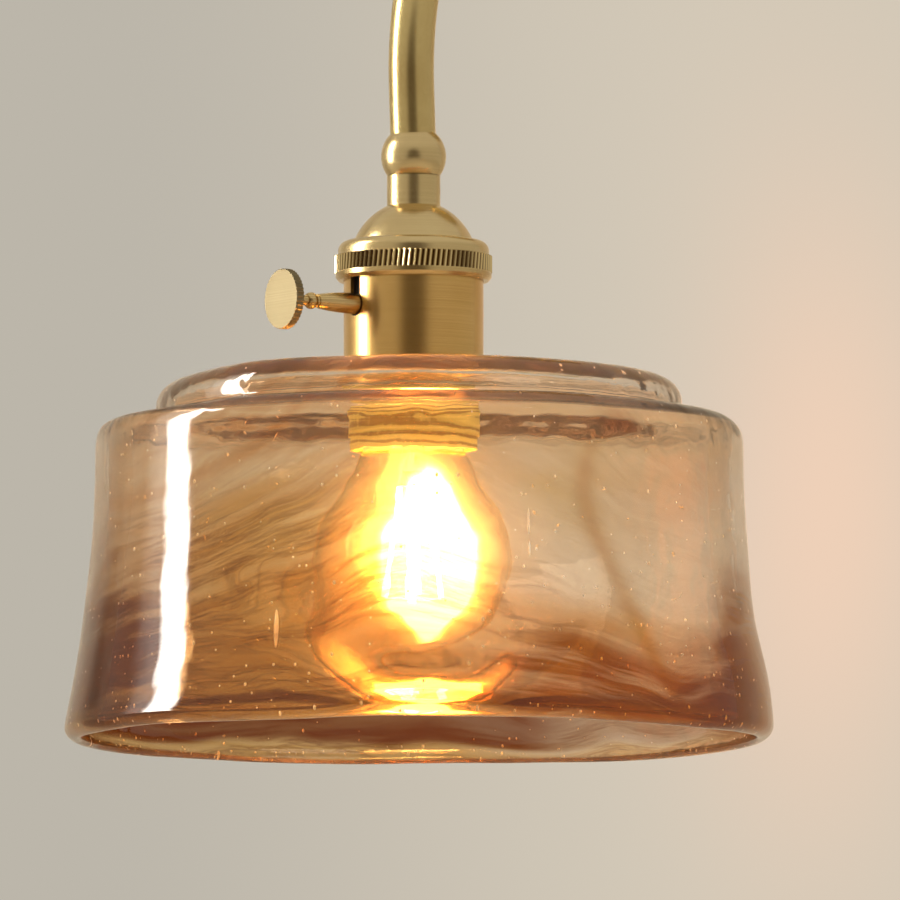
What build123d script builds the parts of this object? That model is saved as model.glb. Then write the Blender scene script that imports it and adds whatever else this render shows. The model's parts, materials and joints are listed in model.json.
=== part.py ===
from build123d import *
import os
from math import asin, cos, degrees, pi, radians, sin, sqrt

# Wall light: a bent brass arm on a round wall plate, a ball swivel at the arm's lower end,
# a key-switched lampholder under it, and a blown glass shade clamped round the lampholder.
# Millimetres, +Z up, +Y into the wall, origin at the wall plate's centre on the wall.

os.makedirs("parts", exist_ok=True)

# Driving dimensions

# Wall plate and its strap
plate_margin = 14.0
plate_depth = 25.0
plate_wall = 1.2
plate_edge_radius = 5.0
strap_thickness = 2.0
strap_width = 24.0
strap_joggle = 5.0
wall_screw_spacing = 60.0
wall_slot_width = 5.0
wall_slot_length = 10.0
cable_hole_radius = 6.0
stud_radius = 2.0
stud_step = 11.0

# Arm
wall_run = 20.0
tube_radius = 7.0
tube_wall = 1.0
bend_radius = 98.0
foot_length = 22.0
arm_lean = 3.0
nipple_radius = 5.0

# Ball swivel: its spheres share one centre, the pivot
ball_radius = 10.0
ball_wall = 1.8
stem_radius = 4.0
stem_bore_radius = 2.6
swivel_tilt = 14.0
neck_radius = 8.2

# Lampholder
cap_top = -14.3
dome_inset = 3.1
ledge_level = -26.2
band_overhang = 1.7
band_bottom = -30.8
knurl_overhang = 2.7
knurl_bottom = -36.0
ring_bottom = -38.5
shell_step = 1.75
shell_wall = 1.2
shell_shoulder = -67.3
holder_room = 5.0
skirt_wall = 1.55
skirt_bottom = -93.0

# Key switch
key_level = -46.6
key_bearing = 21.6
key_length = 27.0
key_disc_radius = 9.25
key_disc_thickness = 2.6
spindle_radius = 1.8

# Glass shade
tier_radius = 81.0
shoulder_width = 18.0
rim_flare = 9.0
shade_hole_play = 1.25
shoulder_level = -80.6
rim_level = -178.6
crown_thickness = 5.0
glass_thickness = 4.0
rim_thickness = 5.0
upper_gasket_thickness = 1.0
lower_gasket_thickness = 2.0
shade_ring_width = 4.5
shade_ring_bottom = -79.4

# Bulb
bulb_radius = 28.5
bulb_centre = -125.5
bulb_tip = -56.0
bulb_cap_radius = 13.2
bulb_cap_bottom = -83.0
bulb_wall = 0.8

# Fits
screw_fit = 0.05
slip_fit = 0.1
ball_fit = 0.2
loose_fit = 0.3
overrun = 1.0

# Wiring
lead_radius = 0.9
lead_spacing = 2.2
lead_gap = 0.6

# Places worked out from the driving dimensions
stud_offset = (wall_screw_spacing + wall_slot_length) / 2 + stud_step
plate_radius = stud_offset + plate_margin
skirt_radius = bulb_cap_radius + holder_room + skirt_wall
shell_radius = skirt_radius + shell_step
dome_base_radius = shell_radius - dome_inset
band_radius = shell_radius + band_overhang
knurl_radius = shell_radius + knurl_overhang
key_reach = shell_radius + key_length
shade_hole_radius = skirt_radius + shade_hole_play
shade_ring_radius = skirt_radius + shade_ring_width
tube_bore_radius = tube_radius - tube_wall
drop = foot_length * cos(radians(arm_lean)) + bend_radius * (1 + sin(radians(arm_lean)))
arm_reach = bend_radius * cos(radians(arm_lean)) - foot_length * sin(radians(arm_lean))
reach = plate_depth + wall_run + arm_reach
pivot = Vector(0, -reach, -drop)
lean_direction = Vector(0, -sin(radians(arm_lean)), cos(radians(arm_lean)))
bend_corner = pivot + lean_direction * (drop / cos(radians(arm_lean)))
key_direction = Vector(-sin(radians(key_bearing)), -cos(radians(key_bearing)), 0)

head_axis = Axis(pivot, (0, 0, 1))
head_section = Plane(origin=pivot, x_dir=(1, 0, 0), z_dir=(0, -1, 0))
lean_section = Plane(origin=pivot, x_dir=(1, 0, 0), z_dir=Vector(1, 0, 0).cross(lean_direction))


def level(height, x=0, y=0):
    """Horizontal plane at a height above the pivot, moved off the lampholder's axis by x and y."""
    return Plane(origin=pivot + Vector(x, y, height))


def room_plane(depth, x=0, z=0):
    """Plane facing the room, at a depth in front of the wall."""
    return Plane(origin=(x, -depth, z), x_dir=(1, 0, 0), z_dir=(0, -1, 0))


def radial_plane(direction, height, distance=0):
    """Upright plane that faces outwards along a level direction, at a distance from the head's axis."""
    origin = pivot + Vector(0, 0, height) + direction * distance
    return Plane(origin=origin, x_dir=Vector(0, 0, 1).cross(direction), z_dir=direction)


def round_corner(sketch, corner, radius):
    """Round the corner of a profile that lies nearest to a point."""
    fillet(sketch.vertices().sort_by_distance(corner)[0], radius)


def on_circle(radius, across):
    """Height of a circle's point that lies at a distance across from its centre."""
    return sqrt(radius**2 - across**2)


def toothed_outline(tip_radius, root_radius, count, turn=0):
    """Corners of a round outline with V-shaped teeth."""
    radii = (tip_radius, root_radius)
    step = pi / count
    return [
        (radii[i % 2] * cos(i * step + turn), radii[i % 2] * sin(i * step + turn))
        for i in range(2 * count)
    ]


# Wall plate: a spun cup with a hole for the arm's nipple and two for the studs
stud_hole_radius = stud_radius + ball_fit
nipple_hole_radius = nipple_radius + ball_fit
plate_inside = plate_depth - plate_wall
with BuildPart() as wall_plate:
    with BuildSketch(Plane.XY) as cup:
        with BuildLine():
            Polyline(
                (nipple_hole_radius, -plate_depth),
                (plate_radius, -plate_depth),
                (plate_radius, 0),
                (plate_radius - plate_wall, 0),
                (plate_radius - plate_wall, -plate_inside),
                (nipple_hole_radius, -plate_inside),
                close=True,
            )
        make_face()
        round_corner(cup, (plate_radius, -plate_depth), plate_edge_radius)
        round_corner(cup, (plate_radius - plate_wall, -plate_inside), plate_edge_radius - plate_wall)
    revolve(axis=Axis.Y)
    with BuildSketch(room_plane(plate_inside - overrun)):
        with Locations((-stud_offset, 0), (stud_offset, 0)):
            Circle(stud_hole_radius)
    extrude(amount=plate_wall + 2 * overrun, mode=Mode.SUBTRACT)
wall_plate.part.label = "wall_plate"
export_step(wall_plate.part, "parts/wall_plate.step")

# Mounting strap: flat against the wall in the middle, with ends set forward to carry the studs
strap_end_length = 6.0
strap_slot_margin = 1.2
strap_flat_half = (wall_screw_spacing + wall_slot_length) / 2 + strap_slot_margin
strap_half = stud_offset + strap_end_length
strap_miter = strap_thickness * (sqrt(2) - 1)
strap_front = strap_joggle + strap_thickness
strap_corner_radius = 3.0
earth_screw_radius = 1.5
earth_screw_height = 8.0
with BuildPart() as mounting_bracket:
    with BuildSketch(Plane.XY):
        with BuildLine() as strap_line:
            Polyline(
                (0, 0),
                (strap_flat_half, 0),
                (strap_flat_half + strap_joggle, -strap_joggle),
                (strap_half, -strap_joggle),
                (strap_half, -strap_front),
                (strap_flat_half + strap_joggle - strap_miter, -strap_front),
                (strap_flat_half - strap_miter, -strap_thickness),
                (0, -strap_thickness),
            )
            mirror(strap_line.line, about=Plane.YZ)
        make_face()
    extrude(amount=strap_width / 2, both=True)
    strap_ends = mounting_bracket.edges().filter_by(Axis.Y).group_by(Axis.X)
    fillet(strap_ends[0] + strap_ends[-1], strap_corner_radius)
    with BuildSketch(room_plane(-overrun)):
        Circle(cable_hole_radius)
        with Locations((-wall_screw_spacing / 2, 0), (wall_screw_spacing / 2, 0)):
            SlotOverall(wall_slot_length, wall_slot_width)
        with Locations((-stud_offset, 0), (stud_offset, 0)):
            Circle(stud_radius + screw_fit)
        with Locations((stud_offset, earth_screw_height)):
            Circle(earth_screw_radius + screw_fit)
    extrude(amount=strap_front + 2 * overrun, mode=Mode.SUBTRACT)
mounting_bracket.part.label = "mounting_bracket"
export_step(mounting_bracket.part, "parts/mounting_bracket.step")

# Studs: two screws through the strap's ends that the wall plate hangs on
stud_head_radius = 3.5
stud_head_height = 2.4
nut_radius = 4.2
nut_base_height = 4.2
stud_tip = plate_depth + nut_base_height
with BuildPart() as canopy_studs:
    with BuildSketch(room_plane(strap_joggle - stud_head_height)):
        with Locations((-stud_offset, 0), (stud_offset, 0)):
            Circle(stud_head_radius)
    extrude(amount=stud_head_height)
    with BuildSketch(room_plane(strap_joggle)):
        with Locations((-stud_offset, 0), (stud_offset, 0)):
            Circle(stud_radius)
    extrude(amount=stud_tip - strap_joggle)
canopy_studs.part.label = "canopy_studs"
export_step(canopy_studs.part, "parts/canopy_studs.step")

# Dome nuts on the wall plate's face
with BuildPart() as dome_nuts:
    with BuildSketch(room_plane(plate_depth)):
        with Locations((-stud_offset, 0), (stud_offset, 0)):
            Circle(nut_radius)
    extrude(amount=nut_base_height)
    nut_dome_level = -plate_depth - nut_base_height
    with Locations((-stud_offset, nut_dome_level, 0), (stud_offset, nut_dome_level, 0)):
        Sphere(nut_radius)
    with BuildSketch(room_plane(plate_depth)):
        with Locations((-stud_offset, 0), (stud_offset, 0)):
            Circle(stud_radius + screw_fit)
    extrude(amount=nut_base_height + loose_fit, mode=Mode.SUBTRACT)
dome_nuts.part.label = "dome_nuts"
export_step(dome_nuts.part, "parts/dome_nuts.step")

# Arm tube: one bend from the leaning foot on the ball to the level run into the plate
seat_height = on_circle(ball_radius, tube_radius)
with BuildPart() as arm_tube:
    with BuildLine() as arm_line:
        FilletPolyline(
            pivot + lean_direction * seat_height,
            bend_corner,
            (0, -plate_depth, 0),
            radius=bend_radius,
        )
    with BuildSketch(arm_line.line ^ 0):
        Circle(tube_radius)
        Circle(tube_bore_radius, mode=Mode.SUBTRACT)
    sweep(path=arm_line.line)
arm_tube.part.label = "arm_tube"
export_step(arm_tube.part, "parts/arm_tube.step")

# Collar: a coved ring that covers the joint between the arm and the plate
collar_radius = 13.0
collar_height = 7.0
collar_foot = 2.0
collar_lip = 1.5
cove_shares = (0.3, 0.3)
collar_bore_radius = tube_radius + slip_fit
collar_lip_radius = collar_bore_radius + collar_lip
with BuildPart() as arm_collar:
    with BuildSketch(Plane.XY):
        with BuildLine():
            Polyline(
                (collar_lip_radius, -plate_depth - collar_height),
                (collar_bore_radius, -plate_depth - collar_height),
                (collar_bore_radius, -plate_depth),
                (collar_radius, -plate_depth),
                (collar_radius, -plate_depth - collar_foot),
            )
            ThreePointArc(
                (collar_radius, -plate_depth - collar_foot),
                (
                    collar_lip_radius + cove_shares[0] * (collar_radius - collar_lip_radius),
                    -plate_depth - collar_foot - cove_shares[1] * (collar_height - collar_foot),
                ),
                (collar_lip_radius, -plate_depth - collar_height),
            )
        make_face()
    revolve(axis=Axis.Y)
arm_collar.part.label = "arm_collar"
export_step(arm_collar.part, "parts/arm_collar.step")

# Nipple: a plug brazed into the arm, with a hollow threaded end through the plate
nipple_plug_length = 12.0
nipple_stick_out = 11.0
nipple_bore_radius = 3.5
with BuildPart() as arm_nipple:
    with BuildSketch(Plane.XY):
        with BuildLine():
            Polyline(
                (nipple_bore_radius, -plate_depth - nipple_plug_length),
                (tube_bore_radius - screw_fit, -plate_depth - nipple_plug_length),
                (tube_bore_radius - screw_fit, -plate_depth),
                (nipple_radius, -plate_depth),
                (nipple_radius, -plate_depth + nipple_stick_out),
                (nipple_bore_radius, -plate_depth + nipple_stick_out),
                close=True,
            )
        make_face()
    revolve(axis=Axis.Y)
arm_nipple.part.label = "arm_nipple"
export_step(arm_nipple.part, "parts/arm_nipple.step")

# Earth tags: one under the nipple's lock nut, one on the strap, each with a crimped barrel
tag_thickness = 0.8
nipple_tag_radius = 8.0
strap_tag_radius = 3.2
tag_width = 2.6
tag_lap = 1.0
barrel_radius = 1.3
barrel_length = 4.5
nipple_tag_reach = 14.0
strap_tag_reach = 9.0
earth_lead_radius = 0.9
nipple_barrel_y = -plate_inside + barrel_radius + slip_fit
strap_barrel_y = -strap_front - barrel_radius - slip_fit
with BuildPart() as earth_tags:
    with BuildSketch(room_plane(plate_inside)):
        Circle(nipple_tag_radius)
        with Locations(((nipple_tag_reach - barrel_length + tag_lap) / 2, 0)):
            Rectangle(nipple_tag_reach - barrel_length + tag_lap, tag_width)
        Circle(nipple_hole_radius, mode=Mode.SUBTRACT)
    extrude(amount=-tag_thickness)
    with BuildSketch(room_plane(strap_front)):
        with Locations((stud_offset, earth_screw_height)):
            Circle(strap_tag_radius)
        with Locations((stud_offset - (strap_tag_reach - barrel_length + tag_lap) / 2, earth_screw_height)):
            Rectangle(strap_tag_reach - barrel_length + tag_lap, tag_width)
        with Locations((stud_offset, earth_screw_height)):
            Circle(earth_screw_radius + screw_fit, mode=Mode.SUBTRACT)
    extrude(amount=tag_thickness)
    with BuildSketch(Plane(origin=(nipple_tag_reach, nipple_barrel_y, 0), z_dir=(-1, 0, 0))):
        Circle(barrel_radius)
    extrude(amount=barrel_length)
    strap_barrel_start = (stud_offset - strap_tag_reach, strap_barrel_y, earth_screw_height)
    with BuildSketch(Plane(origin=strap_barrel_start, z_dir=(1, 0, 0))):
        Circle(barrel_radius)
    extrude(amount=barrel_length)
earth_tags.part.label = "earth_tags"
export_step(earth_tags.part, "parts/earth_tags.step")

# Earth lead between the two tags, level where it leaves each barrel
earth_run = 7.0
earth_turn_radius = 6.0
with BuildPart() as earth_lead:
    with BuildLine() as earth_line:
        FilletPolyline(
            (nipple_tag_reach, nipple_barrel_y, 0),
            (nipple_tag_reach + earth_run, nipple_barrel_y, 0),
            (strap_barrel_start[0] - earth_run, strap_barrel_y, earth_screw_height),
            strap_barrel_start,
            radius=earth_turn_radius,
        )
    with BuildSketch(earth_line.line ^ 0):
        Circle(earth_lead_radius)
    sweep(path=earth_line.line)
earth_lead.part.label = "earth_lead"
export_step(earth_lead.part, "parts/earth_lead.step")

# Earth screw in the strap's end
earth_head_radius = 2.75
earth_head_height = 1.8
with BuildPart() as earth_screw:
    with BuildSketch(room_plane(strap_front + tag_thickness, stud_offset, earth_screw_height)):
        Circle(earth_head_radius)
    extrude(amount=earth_head_height)
    with BuildSketch(room_plane(strap_front + tag_thickness, stud_offset, earth_screw_height)):
        Circle(earth_screw_radius)
    extrude(amount=-strap_thickness - tag_thickness - slip_fit)
earth_screw.part.label = "earth_screw"
export_step(earth_screw.part, "parts/earth_screw.step")

# Toothed lock washer and thin nut on the nipple, inside the plate
washer_thickness = 1.0
washer_radius = 8.6
washer_tooth = 0.8
washer_teeth = 14
lock_nut_flats = 14.0
lock_nut_thickness = 3.0
washer_seat = plate_inside - tag_thickness
with BuildPart() as lock_washer:
    with BuildSketch(room_plane(washer_seat)):
        with BuildLine():
            Polyline(*toothed_outline(washer_radius, washer_radius - washer_tooth, washer_teeth), close=True)
        make_face()
        Circle(nipple_hole_radius, mode=Mode.SUBTRACT)
    extrude(amount=-washer_thickness)
lock_washer.part.label = "lock_washer"
export_step(lock_washer.part, "parts/lock_washer.step")

with BuildPart() as lock_nut:
    with BuildSketch(room_plane(washer_seat - washer_thickness)):
        RegularPolygon(lock_nut_flats / 2, 6, major_radius=False)
        Circle(nipple_radius + screw_fit, mode=Mode.SUBTRACT)
    extrude(amount=-lock_nut_thickness)
lock_nut.part.label = "lock_nut"
export_step(lock_nut.part, "parts/lock_nut.step")

# Terminal block: a two-way connector that hangs on its leads below the nipple
block_width = 16.0
block_height = 18.0
block_thickness = 10.0
block_top = -20.0
block_back = 4.5
block_corner_radius = 1.0
pole_spacing = 8.0
pole_groove = 1.6
block_screw_radius = 1.6
block_screw_length = 3.5
block_screw_inset = 4.5
lead_hole_radius = lead_radius + ball_fit
lead_hole_depth = 6.0
block_middle = block_top - block_height / 2
block_front = block_back + block_thickness
pole_depth = block_back + block_thickness / 2
block_screw_places = [
    (side * pole_spacing / 2, block_middle + end * (block_height / 2 - block_screw_inset))
    for side in (-1, 1)
    for end in (-1, 1)
]
with BuildPart() as terminal_block:
    with BuildSketch(room_plane(block_back)):
        with Locations((0, block_middle)):
            RectangleRounded(block_width, block_height, block_corner_radius)
    extrude(amount=block_thickness)
    with BuildSketch(room_plane(block_front)):
        with Locations((0, block_middle)):
            Rectangle(pole_groove, block_height + 2 * overrun)
    extrude(amount=-pole_groove, mode=Mode.SUBTRACT)
    with BuildSketch(room_plane(block_front)):
        with Locations(*block_screw_places):
            Circle(block_screw_radius + screw_fit)
    extrude(amount=-block_screw_length, mode=Mode.SUBTRACT)
    with BuildSketch(Plane(origin=(0, -pole_depth, block_top))):
        with Locations((-pole_spacing / 2, 0), (pole_spacing / 2, 0)):
            Circle(lead_hole_radius)
    extrude(amount=-lead_hole_depth, mode=Mode.SUBTRACT)
    with BuildSketch(Plane(origin=(0, -pole_depth, block_top - block_height))):
        with Locations((-pole_spacing / 2, 0), (pole_spacing / 2, 0)):
            Circle(lead_hole_radius)
    extrude(amount=lead_hole_depth, mode=Mode.SUBTRACT)
terminal_block.part.label = "terminal_block"
export_step(terminal_block.part, "parts/terminal_block.step")

with BuildPart() as block_screws:
    with BuildSketch(room_plane(block_front)):
        with Locations(*block_screw_places):
            Circle(block_screw_radius)
    extrude(amount=-block_screw_length)
block_screws.part.label = "block_screws"
export_step(block_screws.part, "parts/block_screws.step")

# Supply leads: from the block, through the nipple and the arm, to just above the pivot
nipple_exit_radius = 5.0
block_turn_radius = 10.0
lead_start = pivot + lean_direction * (lead_gap / 2)
lead_run = 7.0


def supply_lead_path(side):
    """Route of one supply lead on one side of the arm's middle plane."""
    beside = Vector(side * lead_spacing / 2, 0, 0)
    pole = side * pole_spacing / 2
    return FilletPolyline(
        lead_start + beside,
        bend_corner + beside,
        Vector(0, -pole_depth, 0) + beside,
        (pole, -pole_depth, block_top + lead_run),
        (pole, -pole_depth, block_top - lead_hole_depth),
        radius=[bend_radius, nipple_exit_radius, block_turn_radius],
    )


with BuildPart() as live_lead:
    with BuildLine() as live_line:
        supply_lead_path(1)
    with BuildSketch(live_line.line ^ 0):
        Circle(lead_radius)
    sweep(path=live_line.line)
live_lead.part.label = "live_lead"
export_step(live_lead.part, "parts/live_lead.step")

with BuildPart() as neutral_lead:
    with BuildLine() as neutral_line:
        supply_lead_path(-1)
    with BuildSketch(neutral_line.line ^ 0):
        Circle(lead_radius)
    sweep(path=neutral_line.line)
neutral_lead.part.label = "neutral_lead"
export_step(neutral_lead.part, "parts/neutral_lead.step")

# Ball housing: a hollow ball with a spigot brazed into the arm and an opening for the stem.
# The opening is as wide as the stem needs at the end of its tilt.
ball_inner_radius = ball_radius - ball_wall
spigot_length = 6.0
spigot_bore_radius = 3.0
opening_angle = radians(swivel_tilt) + asin(stem_radius / ball_radius)
opening_radius = ball_radius * sin(opening_angle) + slip_fit
with BuildPart() as ball_housing:
    with BuildSketch(lean_section):
        with BuildLine():
            Polyline(
                (spigot_bore_radius, on_circle(ball_inner_radius, spigot_bore_radius)),
                (spigot_bore_radius, seat_height + spigot_length),
                (tube_bore_radius - screw_fit, seat_height + spigot_length),
                (tube_bore_radius - screw_fit, seat_height),
                (tube_radius, seat_height),
            )
            ThreePointArc((tube_radius, seat_height), (ball_radius, 0), (0, -ball_radius))
            Line((0, -ball_radius), (0, -ball_inner_radius))
            ThreePointArc(
                (0, -ball_inner_radius),
                (ball_inner_radius, 0),
                (spigot_bore_radius, on_circle(ball_inner_radius, spigot_bore_radius)),
            )
        make_face()
    revolve(axis=Axis(pivot, lean_direction))
    with BuildSketch(level(0)):
        Circle(opening_radius)
    extrude(amount=-ball_radius - overrun, mode=Mode.SUBTRACT)
ball_housing.part.label = "ball_housing"
export_step(ball_housing.part, "parts/ball_housing.step")

# Swivel stem: a half ball that turns in the housing, on a hollow threaded shaft
stem_head_radius = ball_inner_radius - ball_fit
stem_bottom = -24.0
stem_shoulder = -on_circle(stem_head_radius, stem_radius)
head_arc_middle = stem_head_radius * sqrt(0.5)
with BuildPart() as swivel_stem:
    with BuildSketch(head_section):
        with BuildLine():
            Line((stem_bore_radius, 0), (stem_head_radius, 0))
            ThreePointArc(
                (stem_head_radius, 0),
                (head_arc_middle, -head_arc_middle),
                (stem_radius, stem_shoulder),
            )
            Polyline(
                (stem_radius, stem_shoulder),
                (stem_radius, stem_bottom),
                (stem_bore_radius, stem_bottom),
                (stem_bore_radius, 0),
            )
        make_face()
    revolve(axis=head_axis)
swivel_stem.part.label = "swivel_stem"
export_step(swivel_stem.part, "parts/swivel_stem.step")

# Neck: a sleeve with a hollow top that bears on the ball, locked to the stem by a grub screw
neck_cup_radius = ball_radius + ball_fit
stem_hole_radius = stem_radius + slip_fit
neck_middle_radius = (neck_radius + stem_hole_radius) / 2
grub_level = -10.8
grub_radius = 1.5
grub_bearing = 35.0
grub_socket = 0.75
grub_socket_depth = 1.5
grub_direction = Vector(cos(radians(grub_bearing)), sin(radians(grub_bearing)), 0)
with BuildPart() as neck_sleeve:
    with BuildSketch(head_section):
        with BuildLine():
            ThreePointArc(
                (stem_hole_radius, -on_circle(neck_cup_radius, stem_hole_radius)),
                (neck_middle_radius, -on_circle(neck_cup_radius, neck_middle_radius)),
                (neck_radius, -on_circle(neck_cup_radius, neck_radius)),
            )
            Polyline(
                (neck_radius, -on_circle(neck_cup_radius, neck_radius)),
                (neck_radius, cap_top),
                (stem_hole_radius, cap_top),
                (stem_hole_radius, -on_circle(neck_cup_radius, stem_hole_radius)),
            )
        make_face()
    revolve(axis=head_axis)
    with BuildSketch(radial_plane(grub_direction, grub_level)):
        Circle(grub_radius + screw_fit)
    extrude(amount=neck_radius + overrun, mode=Mode.SUBTRACT)
neck_sleeve.part.label = "neck_sleeve"
export_step(neck_sleeve.part, "parts/neck_sleeve.step")

with BuildPart() as neck_grub_screw:
    with BuildSketch(radial_plane(grub_direction, grub_level, stem_hole_radius)):
        Circle(grub_radius)
    extrude(amount=neck_radius - stem_hole_radius)
    with BuildSketch(radial_plane(grub_direction, grub_level, neck_radius)):
        RegularPolygon(grub_socket, 6, major_radius=False)
    extrude(amount=-grub_socket_depth, mode=Mode.SUBTRACT)
neck_grub_screw.part.label = "neck_grub_screw"
export_step(neck_grub_screw.part, "parts/neck_grub_screw.step")

# Lampholder cap: collar, dome, ledge, rounded band and the skirt that the ring grips
cap_wall = 1.5
cap_collar_height = 1.0
cap_inner_top = -17.2
cap_inner_top_radius = 8.6
cap_shoulder_radius = 3.0
shell_flange = 0.5
cap_skirt_wall = 2.0
cap_skirt_bottom = -35.0
dome_radius_share = 0.61
dome_height_share = 0.42
dome_top = cap_top - cap_collar_height
dome_inner_radius = dome_base_radius - cap_wall
ledge_underside = ledge_level - cap_wall
cap_skirt_radius = shell_radius + shell_flange
cap_skirt_inner = cap_skirt_radius - cap_skirt_wall
with BuildPart() as socket_cap:
    with BuildSketch(head_section) as cap_profile:
        with BuildLine():
            Polyline(
                (stem_hole_radius, cap_inner_top),
                (stem_hole_radius, cap_top),
                (neck_radius, cap_top),
                (neck_radius, dome_top),
            )
            ThreePointArc(
                (neck_radius, dome_top),
                (
                    neck_radius + dome_radius_share * (dome_base_radius - neck_radius),
                    dome_top + dome_height_share * (ledge_level - dome_top),
                ),
                (dome_base_radius, ledge_level),
            )
            Polyline(
                (dome_base_radius, ledge_level),
                (band_radius, ledge_level),
                (band_radius, band_bottom),
                (cap_skirt_radius, band_bottom),
                (cap_skirt_radius, cap_skirt_bottom),
                (cap_skirt_inner, cap_skirt_bottom),
                (cap_skirt_inner, ledge_underside),
                (dome_inner_radius, ledge_underside),
            )
            ThreePointArc(
                (dome_inner_radius, ledge_underside),
                (
                    cap_inner_top_radius + dome_radius_share * (dome_inner_radius - cap_inner_top_radius),
                    cap_inner_top + dome_height_share * (ledge_underside - cap_inner_top),
                ),
                (cap_inner_top_radius, cap_inner_top),
            )
            Line((cap_inner_top_radius, cap_inner_top), (stem_hole_radius, cap_inner_top))
        make_face()
        round_corner(cap_profile, (band_radius, ledge_level), cap_shoulder_radius)
    revolve(axis=head_axis)
socket_cap.part.label = "socket_cap"
export_step(socket_cap.part, "parts/socket_cap.step")

# Washer and nut that hold the cap up to the neck
stem_washer_radius = 7.5
stem_washer_thickness = 0.8
stem_nut_flats = 12.0
stem_nut_thickness = 4.0
with BuildPart() as stem_washer:
    with BuildSketch(level(cap_inner_top)):
        Circle(stem_washer_radius)
        Circle(stem_hole_radius, mode=Mode.SUBTRACT)
    extrude(amount=-stem_washer_thickness)
stem_washer.part.label = "stem_washer"
export_step(stem_washer.part, "parts/stem_washer.step")

with BuildPart() as stem_nut:
    with BuildSketch(level(cap_inner_top - stem_washer_thickness)):
        RegularPolygon(stem_nut_flats / 2, 6, major_radius=False)
        Circle(stem_radius + screw_fit, mode=Mode.SUBTRACT)
    extrude(amount=-stem_nut_thickness)
stem_nut.part.label = "stem_nut"
export_step(stem_nut.part, "parts/stem_nut.step")

# Knurled ring: slanted flutes over a plain lip, gripping the shell's flange to the cap
flute_count = 90
flute_depth = 0.7
flute_lean_share = 1.36
flute_slant = flute_lean_share * pi / flute_count
ring_lip_inset = 0.2
ring_foot_inset = 1.1
ring_lip_radius = knurl_radius - ring_lip_inset
ring_foot_radius = knurl_radius - ring_foot_inset
ring_lip_height = 1.4
flange_height = 1.0
flange_bottom = cap_skirt_bottom - flange_height
flute_root = knurl_radius - flute_depth
with BuildPart() as knurled_ring:
    with BuildSketch(level(band_bottom)):
        with BuildLine():
            Polyline(*toothed_outline(knurl_radius, flute_root, flute_count, flute_slant), close=True)
        make_face()
    with BuildSketch(level(knurl_bottom)):
        with BuildLine():
            Polyline(*toothed_outline(knurl_radius, flute_root, flute_count, -flute_slant), close=True)
        make_face()
    loft(ruled=True)
    with BuildSketch(head_section):
        with BuildLine():
            Polyline(
                (0, knurl_bottom),
                (ring_lip_radius, knurl_bottom),
                (ring_lip_radius, knurl_bottom - ring_lip_height),
                (ring_foot_radius, ring_bottom),
                (0, ring_bottom),
                close=True,
            )
        make_face()
    revolve(axis=head_axis)
    with BuildSketch(level(band_bottom)):
        Circle(cap_skirt_radius + slip_fit)
    extrude(amount=flange_bottom - slip_fit - band_bottom, mode=Mode.SUBTRACT)
    with BuildSketch(level(band_bottom)):
        Circle(shell_radius + slip_fit)
    extrude(amount=ring_bottom - band_bottom - overrun, mode=Mode.SUBTRACT)
knurled_ring.part.label = "knurled_ring"
export_step(knurled_ring.part, "parts/knurled_ring.step")

# Lampholder shell: a tube with a top flange, a shoulder that seats on the shade, and a
# narrower skirt below it for the shade ring. The key's slot runs down from its top edge.
shell_inner_radius = shell_radius - shell_wall
skirt_inner_radius = skirt_radius - skirt_wall
skirt_end_step = 0.65
skirt_end_radius = skirt_radius - skirt_end_step
skirt_end_height = 4.0
shell_corner_radius = 0.8
key_hole_radius = 3.8
key_slot_width = 5.3


def key_slot(top):
    """Outline of the key's round hole with the slot that runs up from it to a tube's top edge."""
    with BuildSketch(radial_plane(key_direction, key_level)) as slot:
        Circle(key_hole_radius)
        with Locations((0, (top - key_level + overrun) / 2)):
            Rectangle(key_slot_width, top - key_level + overrun)
    return slot.sketch


with BuildPart() as socket_shell:
    with BuildSketch(head_section) as shell_profile:
        with BuildLine():
            Polyline(
                (shell_inner_radius, cap_skirt_bottom),
                (cap_skirt_radius, cap_skirt_bottom),
                (cap_skirt_radius, flange_bottom),
                (shell_radius, flange_bottom),
                (shell_radius, shell_shoulder),
                (skirt_radius, shell_shoulder),
                (skirt_radius, skirt_bottom + skirt_end_height),
                (skirt_end_radius, skirt_bottom + skirt_end_height),
                (skirt_end_radius, skirt_bottom),
                (skirt_inner_radius, skirt_bottom),
                (skirt_inner_radius, shell_shoulder + shell_wall),
                (shell_inner_radius, shell_shoulder + shell_wall),
                close=True,
            )
        make_face()
        round_corner(shell_profile, (shell_radius, shell_shoulder), shell_corner_radius)
    revolve(axis=head_axis)
    extrude(key_slot(cap_skirt_bottom), amount=cap_skirt_radius + overrun, mode=Mode.SUBTRACT)
socket_shell.part.label = "socket_shell"
export_step(socket_shell.part, "parts/socket_shell.step")

# Insulating liner between the shell and the switch
liner_thickness = 0.6
liner_top = -36.8
liner_radius = shell_inner_radius - slip_fit
with BuildPart() as insulating_liner:
    with BuildSketch(level(liner_top)):
        Circle(liner_radius)
        Circle(liner_radius - liner_thickness, mode=Mode.SUBTRACT)
    extrude(amount=shell_shoulder + shell_wall - liner_top)
    extrude(key_slot(liner_top), amount=liner_radius + overrun, mode=Mode.SUBTRACT)
insulating_liner.part.label = "insulating_liner"
export_step(insulating_liner.part, "parts/insulating_liner.step")

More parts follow.
